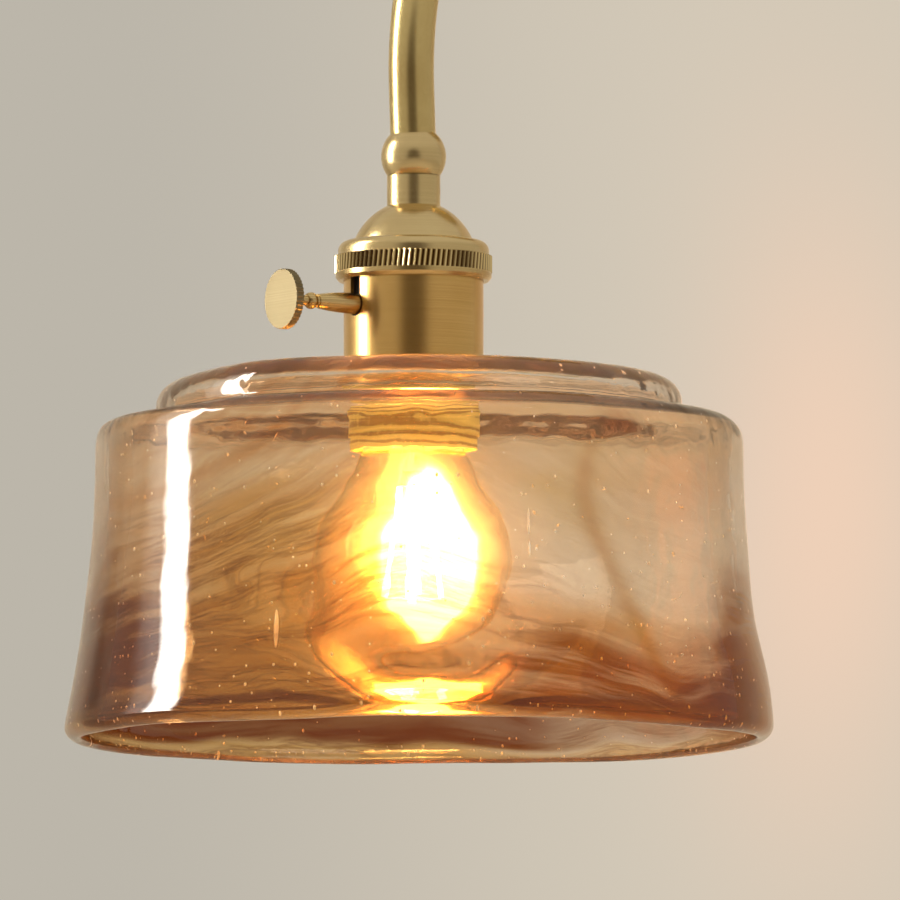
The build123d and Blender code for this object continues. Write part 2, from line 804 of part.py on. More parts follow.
# Switch housing: a moulded block with the rotor's chamber and the spindle's bearing
housing_radius = liner_radius - liner_thickness - slip_fit
housing_top = -36.5
housing_bottom = -52.4
chamber_radius = 4.4
rotor_start = 5.0
rotor_end = 15.0
terminal_offset = 8.0
terminal_radius = 1.4
terminal_length = 4.0
insert_screw_inset = 3.5
insert_screw_offset = housing_radius - insert_screw_inset
insert_screw_radius = 1.5
insert_screw_length = 22.0
insert_grip = housing_top - insert_screw_length
with BuildPart() as switch_housing:
    with BuildSketch(level(housing_top)):
        Circle(housing_radius)
        with Locations((-insert_screw_offset, 0), (insert_screw_offset, 0)):
            Circle(insert_screw_radius + slip_fit, mode=Mode.SUBTRACT)
    extrude(amount=housing_bottom - housing_top)
    with BuildSketch(level(housing_top)):
        with Locations((-terminal_offset, 0), (terminal_offset, 0)):
            Circle(terminal_radius + screw_fit)
    extrude(amount=-terminal_length, mode=Mode.SUBTRACT)
    with BuildSketch(radial_plane(key_direction, key_level, rotor_start - loose_fit)):
        Circle(chamber_radius)
    extrude(amount=rotor_end - rotor_start + 2 * loose_fit, mode=Mode.SUBTRACT)
    with BuildSketch(radial_plane(key_direction, key_level, rotor_end)):
        Circle(spindle_radius + screw_fit)
    extrude(amount=housing_radius, mode=Mode.SUBTRACT)
switch_housing.part.label = "switch_housing"
export_step(switch_housing.part, "parts/switch_housing.step")

# Screws on the housing's top: two for the leads, two long ones that hold the insert
terminal_head_radius = 2.5
terminal_head_height = 1.6
insert_head_radius = 2.4
insert_head_height = 1.5
with BuildPart() as terminal_screws:
    with BuildSketch(level(housing_top)):
        with Locations((-terminal_offset, 0), (terminal_offset, 0)):
            Circle(terminal_head_radius)
    extrude(amount=terminal_head_height)
    with BuildSketch(level(housing_top)):
        with Locations((-terminal_offset, 0), (terminal_offset, 0)):
            Circle(terminal_radius)
    extrude(amount=-terminal_length)
terminal_screws.part.label = "terminal_screws"
export_step(terminal_screws.part, "parts/terminal_screws.step")

with BuildPart() as insert_screws:
    with BuildSketch(level(housing_top)):
        with Locations((-insert_screw_offset, 0), (insert_screw_offset, 0)):
            Circle(insert_head_radius)
    extrude(amount=insert_head_height)
    with BuildSketch(level(housing_top)):
        with Locations((-insert_screw_offset, 0), (insert_screw_offset, 0)):
            Circle(insert_screw_radius)
    extrude(amount=-insert_screw_length)
insert_screws.part.label = "insert_screws"
export_step(insert_screws.part, "parts/insert_screws.step")

# Lampholder body: the insulating cup that holds the screw shell and the centre contact
body_radius = skirt_inner_radius - ball_fit
body_floor = 2.5
body_end_gap = 1.0
body_bottom = skirt_bottom + body_end_gap
body_mouth_play = 2.3
screw_shell_play = 0.5
screw_shell_radius = bulb_cap_radius + screw_shell_play
screw_shell_wall = 0.35
screw_shell_top = -57.0
screw_shell_bottom = -84.5
body_bore_radius = screw_shell_radius + screw_fit
body_mouth_radius = screw_shell_radius + body_mouth_play
body_floor_underside = housing_bottom - body_floor
with BuildPart() as socket_body:
    with BuildSketch(level(housing_bottom)):
        Circle(body_radius)
    extrude(amount=body_bottom - housing_bottom)
    with BuildSketch(level(body_floor_underside)):
        Circle(body_bore_radius)
    extrude(amount=body_bottom - body_floor_underside - overrun, mode=Mode.SUBTRACT)
    with BuildSketch(level(screw_shell_bottom)):
        Circle(body_mouth_radius)
    extrude(amount=body_bottom - screw_shell_bottom - overrun, mode=Mode.SUBTRACT)
    with BuildSketch(level(housing_bottom)):
        with Locations((-insert_screw_offset, 0), (insert_screw_offset, 0)):
            Circle(insert_screw_radius + screw_fit)
    extrude(amount=insert_grip - housing_bottom, mode=Mode.SUBTRACT)
socket_body.part.label = "socket_body"
export_step(socket_body.part, "parts/socket_body.step")

# Screw shell that takes the bulb's cap
with BuildPart() as screw_shell:
    with BuildSketch(level(screw_shell_top)):
        Circle(screw_shell_radius)
        Circle(screw_shell_radius - screw_shell_wall, mode=Mode.SUBTRACT)
    extrude(amount=screw_shell_bottom - screw_shell_top)
screw_shell.part.label = "screw_shell"
export_step(screw_shell.part, "parts/screw_shell.step")

# Centre contact: a springy strip from the cup's floor down to the bulb's tip
contact_thickness = 0.4
contact_width = 6.0
contact_reach = 9.0
contact_foot = 4.5
contact_tip_half = 2.0
with BuildPart() as centre_contact:
    with BuildSketch(head_section):
        with BuildLine():
            Polyline(
                (contact_reach, body_floor_underside),
                (contact_foot, body_floor_underside),
                (contact_tip_half, bulb_tip + contact_thickness),
                (-contact_tip_half, bulb_tip + contact_thickness),
                (-contact_tip_half, bulb_tip),
                (contact_tip_half, bulb_tip),
                (contact_foot, body_floor_underside - contact_thickness),
                (contact_reach, body_floor_underside - contact_thickness),
                close=True,
            )
        make_face()
    extrude(amount=contact_width / 2, both=True)
centre_contact.part.label = "centre_contact"
export_step(centre_contact.part, "parts/centre_contact.step")

# Lead tails inside the head: from just below the pivot, down the stem, to the terminals
tail_level = housing_top + lead_radius
tail_turn_radius = 2.8
tail_end = terminal_offset - terminal_head_radius


def tail_path(side):
    """Route of one lead's tail down the stem's bore and out to its terminal."""
    return FilletPolyline(
        (side * lead_spacing / 2, -lead_gap / 2),
        (side * lead_spacing / 2, tail_level),
        (side * tail_end, tail_level),
        radius=tail_turn_radius,
    )


with BuildPart() as live_tail:
    with BuildLine(head_section) as live_tail_line:
        tail_path(1)
    with BuildSketch(live_tail_line.line ^ 0):
        Circle(lead_radius)
    sweep(path=live_tail_line.line)
live_tail.part.label = "live_tail"
export_step(live_tail.part, "parts/live_tail.step")

with BuildPart() as neutral_tail:
    with BuildLine(head_section) as neutral_tail_line:
        tail_path(-1)
    with BuildSketch(neutral_tail_line.line ^ 0):
        Circle(lead_radius)
    sweep(path=neutral_tail_line.line)
neutral_tail.part.label = "neutral_tail"
export_step(neutral_tail.part, "parts/neutral_tail.step")

# Key: a serrated disc on a barrel-shaped stem with a bead collar
key_tooth_count = 44
key_tooth_depth = 0.35
key_barrel_start = 20.5
key_barrel_end = 35.2
key_barrel_radius = 3.2
key_barrel_middle_radius = 3.05
key_barrel_end_radius = 2.2
key_groove_radius = 1.9
key_groove_length = 0.8
bead_radius = 2.6
bead_length = 3.2
shank_radius = 1.6
spindle_grip = 6.5
key_disc_back = key_reach - key_disc_thickness
bead_start = key_barrel_end + key_groove_length
spindle_hole_radius = spindle_radius + screw_fit
key_axis = Axis(pivot + Vector(0, 0, key_level), key_direction)
key_section = Plane(
    origin=pivot + Vector(0, 0, key_level),
    x_dir=key_direction,
    z_dir=key_direction.cross(Vector(0, 0, 1)),
)
with BuildPart() as key_disc:
    with BuildSketch(radial_plane(key_direction, key_level, key_disc_back)):
        with BuildLine():
            Polyline(
                *toothed_outline(key_disc_radius, key_disc_radius - key_tooth_depth, key_tooth_count),
                close=True,
            )
        make_face()
    extrude(amount=key_disc_thickness)
key_disc.part.label = "key_disc"
export_step(key_disc.part, "parts/key_disc.step")

with BuildPart() as key_stem:
    with BuildSketch(key_section):
        with BuildLine():
            Polyline(
                (key_barrel_start + spindle_grip, 0),
                (key_barrel_start + spindle_grip, spindle_hole_radius),
                (key_barrel_start, spindle_hole_radius),
                (key_barrel_start, key_barrel_radius),
            )
            ThreePointArc(
                (key_barrel_start, key_barrel_radius),
                ((key_barrel_start + key_barrel_end) / 2, key_barrel_middle_radius),
                (key_barrel_end, key_barrel_end_radius),
            )
            Polyline(
                (key_barrel_end, key_barrel_end_radius),
                (key_barrel_end, key_groove_radius),
                (bead_start, key_groove_radius),
            )
            ThreePointArc(
                (bead_start, key_groove_radius),
                (bead_start + bead_length / 2, bead_radius),
                (bead_start + bead_length, key_groove_radius),
            )
            Polyline(
                (bead_start + bead_length, key_groove_radius),
                (bead_start + bead_length, shank_radius),
                (key_disc_back, shank_radius),
                (key_disc_back, 0),
                (key_barrel_start + spindle_grip, 0),
            )
        make_face()
    revolve(axis=key_axis)
key_stem.part.label = "key_stem"
export_step(key_stem.part, "parts/key_stem.step")

# Spindle and the rotor that it turns inside the housing
rotor_radius = chamber_radius - ball_fit
rotor_flat_share = 0.8
with BuildPart() as switch_spindle:
    with BuildSketch(radial_plane(key_direction, key_level, rotor_start)):
        Circle(spindle_radius)
    extrude(amount=key_barrel_start + spindle_grip - rotor_start)
switch_spindle.part.label = "switch_spindle"
export_step(switch_spindle.part, "parts/switch_spindle.step")

with BuildPart() as switch_rotor:
    with BuildSketch(radial_plane(key_direction, key_level, rotor_start)):
        Circle(rotor_radius)
        Rectangle(2 * rotor_flat_share * rotor_radius, 2 * rotor_flat_share * rotor_radius, mode=Mode.INTERSECT)
        Circle(spindle_hole_radius, mode=Mode.SUBTRACT)
    extrude(amount=rotor_end - rotor_start)
switch_rotor.part.label = "switch_rotor"
export_step(switch_rotor.part, "parts/switch_rotor.step")

# Glass shade: a stepped crown, a rounded shoulder, a wall that flares to a thick round rim
tier_edge_radius = 7.5
step_radius = 2.5
shoulder_edge_radius = 9.0
rim_edge_radius = 3.2
rim_inner_edge_radius = 1.2
flare_sag = 1.6
glass_top = shell_shoulder - upper_gasket_thickness
shoulder_radius = tier_radius + shoulder_width
rim_radius = shoulder_radius + rim_flare
crown_underside = glass_top - crown_thickness
inner_shoulder_radius = shoulder_radius - glass_thickness
inner_rim_radius = rim_radius - rim_thickness
inner_ledge = shoulder_level - glass_thickness
with BuildPart() as glass_shade:
    with BuildSketch(head_section) as shade_profile:
        with BuildLine():
            Polyline(
                (shade_hole_radius, crown_underside),
                (shade_hole_radius, glass_top),
                (tier_radius, glass_top),
                (tier_radius, shoulder_level),
                (shoulder_radius, shoulder_level),
            )
            ThreePointArc(
                (shoulder_radius, shoulder_level),
                ((shoulder_radius + rim_radius) / 2 - flare_sag, (shoulder_level + rim_level) / 2),
                (rim_radius, rim_level),
            )
            Line((rim_radius, rim_level), (inner_rim_radius, rim_level))
            ThreePointArc(
                (inner_rim_radius, rim_level),
                ((inner_shoulder_radius + inner_rim_radius) / 2 - flare_sag, (inner_ledge + rim_level) / 2),
                (inner_shoulder_radius, inner_ledge),
            )
            Polyline(
                (inner_shoulder_radius, inner_ledge),
                (tier_radius - glass_thickness, inner_ledge),
                (tier_radius - glass_thickness, crown_underside),
                (shade_hole_radius, crown_underside),
            )
        make_face()
        round_corner(shade_profile, (tier_radius, glass_top), tier_edge_radius)
        round_corner(shade_profile, (tier_radius, shoulder_level), step_radius)
        round_corner(shade_profile, (shoulder_radius, shoulder_level), shoulder_edge_radius)
        round_corner(shade_profile, (rim_radius, rim_level), rim_edge_radius)
        round_corner(shade_profile, (inner_rim_radius, rim_level), rim_inner_edge_radius)
        round_corner(
            shade_profile, (inner_shoulder_radius, inner_ledge), shoulder_edge_radius - glass_thickness
        )
        round_corner(shade_profile, (tier_radius - glass_thickness, inner_ledge), step_radius)
        round_corner(
            shade_profile,
            (tier_radius - glass_thickness, crown_underside),
            tier_edge_radius - glass_thickness,
        )
    revolve(axis=head_axis)
glass_shade.part.label = "glass_shade"
export_step(glass_shade.part, "parts/glass_shade.step")

# Gaskets above and below the glass, and the ring that clamps it
clamp_bore_radius = skirt_radius + slip_fit
ring_hub_width = 2.05
lower_gasket_width = 3.05
ring_hub_radius = skirt_radius + ring_hub_width
lower_gasket_radius = skirt_radius + lower_gasket_width
shade_ring_flange = 2.2
lower_gasket_bottom = crown_underside - lower_gasket_thickness
with BuildPart() as upper_gasket:
    with BuildSketch(level(shell_shoulder)):
        Circle(shell_radius)
        Circle(clamp_bore_radius, mode=Mode.SUBTRACT)
    extrude(amount=-upper_gasket_thickness)
upper_gasket.part.label = "upper_gasket"
export_step(upper_gasket.part, "parts/upper_gasket.step")

with BuildPart() as lower_gasket:
    with BuildSketch(level(crown_underside)):
        Circle(lower_gasket_radius)
        Circle(clamp_bore_radius, mode=Mode.SUBTRACT)
    extrude(amount=-lower_gasket_thickness)
lower_gasket.part.label = "lower_gasket"
export_step(lower_gasket.part, "parts/lower_gasket.step")

with BuildPart() as shade_ring:
    with BuildSketch(head_section):
        with BuildLine():
            Polyline(
                (clamp_bore_radius, lower_gasket_bottom),
                (ring_hub_radius, lower_gasket_bottom),
                (ring_hub_radius, shade_ring_bottom + shade_ring_flange),
                (shade_ring_radius, shade_ring_bottom + shade_ring_flange),
                (shade_ring_radius, shade_ring_bottom),
                (clamp_bore_radius, shade_ring_bottom),
                close=True,
            )
        make_face()
    revolve(axis=head_axis)
shade_ring.part.label = "shade_ring"
export_step(shade_ring.part, "parts/shade_ring.step")

# Bulb cap: a thin metal cup, with an insulator and a contact at its tip
cap_metal = 0.4
contact_button_radius = 4.2
contact_button_height = 0.5
insulator_radius = 5.45
insulator_height = 1.4
cap_cone_radius = 6.5
cap_cone_height = 2.1
cap_tip = bulb_tip - contact_button_height - cap_metal
insulator_bottom = bulb_tip - contact_button_height - insulator_height
with BuildPart() as bulb_contact:
    with BuildSketch(level(bulb_tip)):
        Circle(contact_button_radius)
    extrude(amount=-contact_button_height)
bulb_contact.part.label = "bulb_contact"
export_step(bulb_contact.part, "parts/bulb_contact.step")

with BuildPart() as bulb_insulator:
    with BuildSketch(level(bulb_tip - contact_button_height)):
        Circle(insulator_radius)
    extrude(amount=-insulator_height)
bulb_insulator.part.label = "bulb_insulator"
export_step(bulb_insulator.part, "parts/bulb_insulator.step")

with BuildPart() as bulb_cap:
    with BuildSketch(head_section):
        with BuildLine():
            Polyline(
                (insulator_radius + screw_fit, cap_tip),
                (cap_cone_radius, cap_tip),
                (bulb_cap_radius, cap_tip - cap_cone_height),
                (bulb_cap_radius, bulb_cap_bottom),
                (bulb_cap_radius - cap_metal, bulb_cap_bottom),
                (bulb_cap_radius - cap_metal, cap_tip - cap_cone_height - cap_metal),
                (cap_cone_radius, cap_tip - cap_metal),
                (insulator_radius + screw_fit, cap_tip - cap_metal),
                close=True,
            )
        make_face()
    revolve(axis=head_axis)
bulb_cap.part.label = "bulb_cap"
export_step(bulb_cap.part, "parts/bulb_cap.step")

# Bulb glass: a neck that swells into a round end, one wall thick all over
bulb_neck_radius = bulb_cap_radius - cap_metal - ball_fit
bulb_neck_top = -76.0
bulb_neck_bottom = -84.0
bulb_join_angle = 35.0
neck_radius_share = 0.38
neck_height_share = 0.5


def bulb_outline(inset):
    """Half outline of the bulb's glass, from its neck to its lowest point, one inset inside."""
    neck = bulb_neck_radius - inset
    ball = bulb_radius - inset
    join = (ball * cos(radians(bulb_join_angle)), bulb_centre + ball * sin(radians(bulb_join_angle)))
    flare = (
        neck + neck_radius_share * (join[0] - neck),
        bulb_neck_bottom + neck_height_share * (join[1] - bulb_neck_bottom),
    )
    Line((neck, bulb_neck_top), (neck, bulb_neck_bottom))
    ThreePointArc((neck, bulb_neck_bottom), flare, join)
    ThreePointArc(join, (ball, bulb_centre), (0, bulb_centre - ball))


with BuildPart() as bulb_glass:
    with BuildSketch(head_section):
        with BuildLine():
            bulb_outline(0)
            bulb_outline(bulb_wall)
            Line((bulb_neck_radius, bulb_neck_top), (bulb_neck_radius - bulb_wall, bulb_neck_top))
            Line((0, bulb_centre - bulb_radius), (0, bulb_centre - bulb_radius + bulb_wall))
        make_face()
    revolve(axis=head_axis)
bulb_glass.part.label = "bulb_glass"
export_step(bulb_glass.part, "parts/bulb_glass.step")

# Bulb stem: a flared glass foot in the neck and a thin rod that carries the filaments
stem_flare_top = -78.0
stem_flare_height = 3.0
stem_tube_radius = 3.5
stem_tube_top = -92.0
stem_tube_bottom = -100.0
stem_rod_radius = 1.2
stem_rod_bottom = -139.5
with BuildPart() as bulb_stem:
    with BuildSketch(head_section):
        with BuildLine():
            Polyline(
                (0, stem_flare_top),
                (bulb_neck_radius - bulb_wall - slip_fit, stem_flare_top),
                (bulb_neck_radius - bulb_wall - slip_fit, stem_flare_top - stem_flare_height),
                (stem_tube_radius, stem_tube_top),
                (stem_tube_radius, stem_tube_bottom),
                (stem_rod_radius, stem_tube_bottom - stem_tube_radius),
                (stem_rod_radius, stem_rod_bottom),
                (0, stem_rod_bottom),
                close=True,
            )
        make_face()
    revolve(axis=head_axis)
bulb_stem.part.label = "bulb_stem"
export_step(bulb_stem.part, "parts/bulb_stem.step")

# Filaments: four straight rods that spread downwards, tied to the stem by thin wires
filament_count = 4
filament_radius = 0.9
filament_top = -105.0
filament_bottom = -138.0
filament_top_spread = 4.0
filament_bottom_spread = 8.5
wire_radius = 0.35
wire_lift = 0.5
with BuildPart() as bulb_filaments:
    for k in range(filament_count):
        bearing = 2 * pi * (k + 0.5) / filament_count
        outward = Vector(cos(bearing), sin(bearing), 0)
        start = pivot + outward * filament_top_spread + Vector(0, 0, filament_top)
        end = pivot + outward * filament_bottom_spread + Vector(0, 0, filament_bottom)
        with BuildSketch(Plane(origin=start, z_dir=end - start)):
            Circle(filament_radius)
        extrude(amount=(end - start).length)
bulb_filaments.part.label = "bulb_filaments"
export_step(bulb_filaments.part, "parts/bulb_filaments.step")

with BuildPart() as filament_wires:
    for k in range(filament_count):
        bearing = 2 * pi * (k + 0.5) / filament_count
        outward = Vector(cos(bearing), sin(bearing), 0)
        for height, spread in (
            (filament_top + wire_lift, filament_top_spread),
            (filament_bottom - wire_lift, filament_bottom_spread),
        ):
            with BuildSketch(radial_plane(outward, height, stem_rod_radius)):
                Circle(wire_radius)
            extrude(amount=spread - stem_rod_radius)
filament_wires.part.label = "filament_wires"
export_step(filament_wires.part, "parts/filament_wires.step")

print("opening half angle", round(degrees(opening_angle), 1), "arm drop", round(drop, 2))
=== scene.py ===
"""Looks of the wall light: brass finishes, the hand-blown shade, the lit bulb and the photo studio."""

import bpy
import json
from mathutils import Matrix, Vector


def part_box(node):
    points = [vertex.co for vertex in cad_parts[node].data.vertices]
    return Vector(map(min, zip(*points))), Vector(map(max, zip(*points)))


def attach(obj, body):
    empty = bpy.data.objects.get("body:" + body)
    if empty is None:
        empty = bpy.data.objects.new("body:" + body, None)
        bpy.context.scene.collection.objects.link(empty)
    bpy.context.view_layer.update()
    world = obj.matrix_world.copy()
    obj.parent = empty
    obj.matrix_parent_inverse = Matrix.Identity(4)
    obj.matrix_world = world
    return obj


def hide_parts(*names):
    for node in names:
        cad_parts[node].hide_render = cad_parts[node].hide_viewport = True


bl_info = {
    "name": "Wall light finishes",
    "version": (1, 0, 0),
    "blender": (4, 5, 0),
    "location": "View3D > Sidebar > Wall Light",
    "description": "Dresses the packed wall light with satin brass, blown glass and a lit bulb",
    "category": "Object",
}

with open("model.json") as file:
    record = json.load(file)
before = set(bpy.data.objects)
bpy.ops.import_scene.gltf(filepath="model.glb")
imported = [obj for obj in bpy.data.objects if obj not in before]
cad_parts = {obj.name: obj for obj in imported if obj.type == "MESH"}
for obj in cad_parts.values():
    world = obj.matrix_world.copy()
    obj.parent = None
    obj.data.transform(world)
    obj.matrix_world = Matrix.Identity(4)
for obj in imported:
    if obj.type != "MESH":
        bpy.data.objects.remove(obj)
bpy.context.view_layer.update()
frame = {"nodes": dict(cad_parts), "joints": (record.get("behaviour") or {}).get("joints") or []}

import json
import random
from math import cos, exp, pi, radians, sin, tan

import bpy
from bpy.props import FloatProperty, FloatVectorProperty, IntProperty, PointerProperty
from mathutils import Matrix, Vector

MM = 0.001

# The ball swivel's centre, which is the lampholder's axis at its top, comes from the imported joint
PIVOT = Vector(next(j["pos_m"] for j in frame["joints"] if j["name"] == "ball_tilt"))

# Levels under the swivel's centre: the skirt's rolled thread and the knurled ring's flutes
THREAD_TOP, THREAD_END = -0.08, -0.089
FLUTES_TOP, FLUTES_END = -0.0309, -0.036

# Patches of colour on the shade's wall: across, level, width and height in metres, and share
BROWN_SWIRLS = (
    (-0.09, -0.155, 0.024, 0.02, 1.0),
    (-0.05, -0.156, 0.03, 0.009, 0.25),
    (0.046, -0.163, 0.024, 0.009, 0.45),
    (0.066, -0.172, 0.048, 0.0085, 1.3),
    (0.062, -0.092, 0.009, 0.003, 0.6),
    (0.084, -0.16, 0.009, 0.006, 0.6),
    (0.044, -0.162, 0.016, 0.007, 0.35),
)
BROWN_SIDES = ((0.106, -0.157, 0.008, 0.022, 2.2), (-0.106, -0.15, 0.009, 0.03, 0.9))
YELLOW_PATCHES = ((0.05, -0.105, 0.017, 0.007, 0.6), (-0.035, -0.118, 0.03, 0.012, 0.6))
HONEY_PATCHES = ((-0.048, -0.14, 0.03, 0.04, 0.2),)
AMBER_PATCHES = ((0.05, -0.153, 0.03, 0.008, 0.55), (0.08, -0.102, 0.018, 0.011, 0.3))

# Long seeds in the glass: across and level in metres, then radius and half length in millimetres
LONG_SEEDS = ((-0.039, -0.154, 0.75, 6.0), (0.0325, -0.122, 0.4, 4.0), (0.034, -0.13, 0.3, 2.4))

# Outline of the filaments' glare: radius and level in millimetres
GLARE_RINGS = (
    (9.0, -92.0), (13.5, -98.0), (19.0, -106.0), (24.5, -115.0),
    (27.0, -125.5), (25.0, -137.0), (19.0, -146.5), (9.0, -152.0),
)
GLARE_CENTRE = -0.1255

SODA_GLASS_IOR = 1.48
PHOTO_WIDTH = 900
BOARD_DISTANCE = 1.1


def to_linear(code):
    """Linear colour with alpha from an sRGB hex code. Any other value stays as it is."""
    if not isinstance(code, str):
        return code
    parts = [int(code[i:i + 2], 16) / 255 for i in (1, 3, 5)]
    return tuple(c / 12.92 if c <= 0.04045 else ((c + 0.055) / 1.055) ** 2.4 for c in parts) + (1.0,)


def colour(name, description, code):
    """Colour property whose default is an sRGB hex code."""
    return FloatVectorProperty(
        name=name, description=description, subtype="COLOR", size=4, min=0, max=1, default=to_linear(code)
    )


def metres(name, description, default):
    """Length property whose default is given in metres."""
    return FloatProperty(
        name=name, description=description, subtype="DISTANCE", unit="LENGTH", default=default
    )


def length(name, description, millimetres):
    """Length property whose default is given in millimetres."""
    return metres(name, description, millimetres * MM)


def angle(name, description, degrees):
    """Angle property whose default is given in degrees."""
    return FloatProperty(name=name, description=description, subtype="ANGLE", default=radians(degrees))


def number(name, description, default, subtype="NONE"):
    """Plain number property."""
    return FloatProperty(name=name, description=description, subtype=subtype, default=default)


class BrassSettings(bpy.types.PropertyGroup):
    """Finish of the brass pieces."""

    satin: colour("Satin brass", "Lacquered brass in a plain light", "#CDB27A")
    tarnish: colour("Deeper brass", "Brass where the lacquer lies thicker", "#BC9C63")
    roughness: number("Roughness", "Sheen of the satin brass", 0.24, "FACTOR")
    line_spacing: length("Line spacing", "Distance between the brushed lines", 0.35)
    # Depth over which the knurl's painted groove shade fades out towards the crests
    knurl_depth: length("Knurl depth", "Depth of the knurled ring's dark grooves", 0.55)
    thread_pitch: length("Thread pitch", "Pitch of the lampholder's shade thread", 2.4)


class ShadeSettings(bpy.types.PropertyGroup):
    """Sizes and colours of the hand-blown shade."""

    hole_radius: length("Hole radius", "Radius of the hole round the lampholder", 21.0)
    tier_radius: length("Tier radius", "Radius of the raised top", 81.0)
    tier_edge: length("Tier edge", "Rounding of the raised top's edge", 7.5)
    shoulder_radius: length("Shoulder radius", "Outer radius just under the shoulder", 99.8)
    shoulder_edge: length("Shoulder edge", "Rounding of the shoulder's edge", 8.5)
    rim_radius: length("Rim radius", "Outer radius of the flared rim", 108.6)
    top_level: length("Top level", "Height of the shade's top under the swivel's centre", -68.3)
    shoulder_level: length("Shoulder level", "Height of the shoulder under the swivel's centre", -80.6)
    rim_level: length("Rim level", "Height of the rim under the swivel's centre", -180.4)
    wall: length("Wall", "Thickness of the glass wall", 4.0)
    crown: length("Crown", "Thickness of the glass top", 5.0)
    lip_wall: length("Lip wall", "Thickness of the heavy lip", 5.6)
    lip_height: length("Lip height", "Height of the lip's rounding", 4.2)
    drop: length("Drop", "Thickness of the drop of glass inside the wall in front of the bulb", 5.0)
    waver: length("Waver", "How far the hand-blown wall strays from a true turned form", 1.8)
    drift: length("Drift", "How far the blown body stands off its hole's axis", 1.7)
    bubbles: IntProperty(name="Bubbles", description="Number of seed bubbles", default=850, min=0)
    bubble_radius: length("Bubble radius", "Radius of an average seed bubble", 0.3)
    clear: colour("Clear glass", "Tint of one clear wall", "#FFF1DB")
    depth_tint: colour("Depth tint", "Colour of the glass where it is seen through its depth", "#DBAA74")
    honey: colour("Honey", "Tint of one wall towards the rim", "#F2CB8C")
    amber: colour("Amber", "Tint of one wall in an amber wisp", "#E2A84A")
    olive: colour("Olive", "Tint of one wall in a yellow patch", "#E2C463")
    brown: colour("Brown", "Tint of one wall in a dark swirl", "#90542A")
    russet: colour("Russet", "Tint of the wall just inside the rim", "#8E4416")


class BulbSettings(bpy.types.PropertyGroup):
    """Light and glass of the bulb."""

    glow: colour("Glow", "Colour of the glare round the lit filaments", "#FFC064")
    filament_strength: number("Filament strength", "Brightness of the filaments", 150.0)
    glare_strength: number("Glare strength", "Brightness of the glare round them", 22000.0)
    glare_radius: length("Glare radius", "Spread of the glare round the filaments", 13.4)
    glare_reach: length("Glare reach", "Spread of the glare along the bulb's axis", 25.0)


class StudioSettings(bpy.types.PropertyGroup):
    """Backdrop, lamps and camera."""

    azimuth: angle("Azimuth", "Camera's bearing from the front", 35)
    elevation: angle("Elevation", "Camera's height angle", -5.3)
    distance: metres("Distance", "Camera's distance", 4.5)
    scale: number("Pixels per millimetre", "Scale of the photograph", 3.25)
    aim_right: length("Aim right", "Frame centre to the right of the swivel's centre", 11.2)
    aim_down: length("Aim down", "Frame centre below the swivel's centre", 90.2)
    wall_left: colour("Backdrop", "Backdrop at the left", "#BCB6AA")
    # The backdrop's lighter right side and the warm pool there are painted light
    wall_right: colour("Backdrop right", "Backdrop at the right", "#D2C8B7")
    wall_painted_pool: colour("Backdrop blush", "Warm blush on the backdrop at the right", "#EED0B8")
    floor: colour("Floor", "Pale floor", "#D9D3C9")


class Value:
    """Output of a shader node. Arithmetic on it adds maths nodes to its tree."""

    def __init__(self, socket):
        self.socket = socket
        self.tree = socket.id_data

    def maths(self, operation, *others, clamp=False):
        """One step of arithmetic that starts from this value."""
        inputs = dict(enumerate((self, *others)))
        return add(self.tree, "Math", inputs, operation=operation, use_clamp=clamp)

    def clamped(self):
        """This value kept between 0 and 1."""
        return self.maths("ADD", 0.0, clamp=True)

    def __add__(self, other):
        return self.maths("ADD", other)

    def __sub__(self, other):
        return self.maths("SUBTRACT", other)

    def __rsub__(self, other):
        return self.maths("MULTIPLY_ADD", -1.0, other)

    def __mul__(self, other):
        return self.maths("MULTIPLY", other)

    def __truediv__(self, other):
        return self.maths("DIVIDE", other)

    def __pow__(self, other):
        return self.maths("POWER", other)

    __radd__ = __add__
    __rmul__ = __mul__


def plug(socket, value):
    """Fill a node's input with another node's output, a hex code's colour or a plain value."""
    if isinstance(value, Value):
        value.tree.links.new(value.socket, socket)
    else:
        socket.default_value = to_linear(value)


def feed(socket):
    """What an input is filled with now."""
    return Value(socket.links[0].from_socket)


def add(tree, kind, inputs=None, output=0, **settings):
    """Add a shader node, set it up, fill its inputs and give one of its outputs."""
    node = tree.nodes.new("ShaderNode" + kind)
    for name, value in settings.items():
        setattr(node, name, value)
    for key, value in (inputs or {}).items():
        plug(node.inputs[key], value)
    return Value(node.outputs[output])


def new_material(name):
    """Empty node material and its tree."""
    material = bpy.data.materials.new(name)
    material.use_nodes = True
    material.node_tree.nodes.clear()
    return material, material.node_tree


def finish_material(material, surface, volume=None):
    """Join shaders to the material's output."""
    output = material.node_tree.nodes.new("ShaderNodeOutputMaterial")
    plug(output.inputs["Surface"], surface)
    if volume:
        plug(output.inputs["Volume"], volume)
    return material


def object_place(tree, centre=(0, 0, 0), turn=(0, 0, 0), scale=(1, 1, 1)):
    """Object coordinates moved to a centre, turned, and then scaled."""
    place = add(tree, "TexCoord", output="Object")
    place = add(
        tree, "Mapping", {"Vector": place, "Location": centre, "Rotation": turn}, vector_type="TEXTURE"
    )
    return add(tree, "Mapping", {"Vector": place, "Scale": scale})


def split(vector):
    """X, Y and Z of a vector."""
    node = add(vector.tree, "SeparateXYZ", {"Vector": vector}).socket.node
    return [Value(output) for output in node.outputs]


def vector_maths(operation, first, *others, output=0):
    """One step of vector arithmetic."""
    inputs = dict(enumerate((first, *others)))
    return add(first.tree, "VectorMath", inputs, output, operation=operation)


def from_axis(place):
    """Distance from the upright axis."""
    level = vector_maths("MULTIPLY", place, (1, 1, 0))
    return vector_maths("LENGTH", level, output="Value")


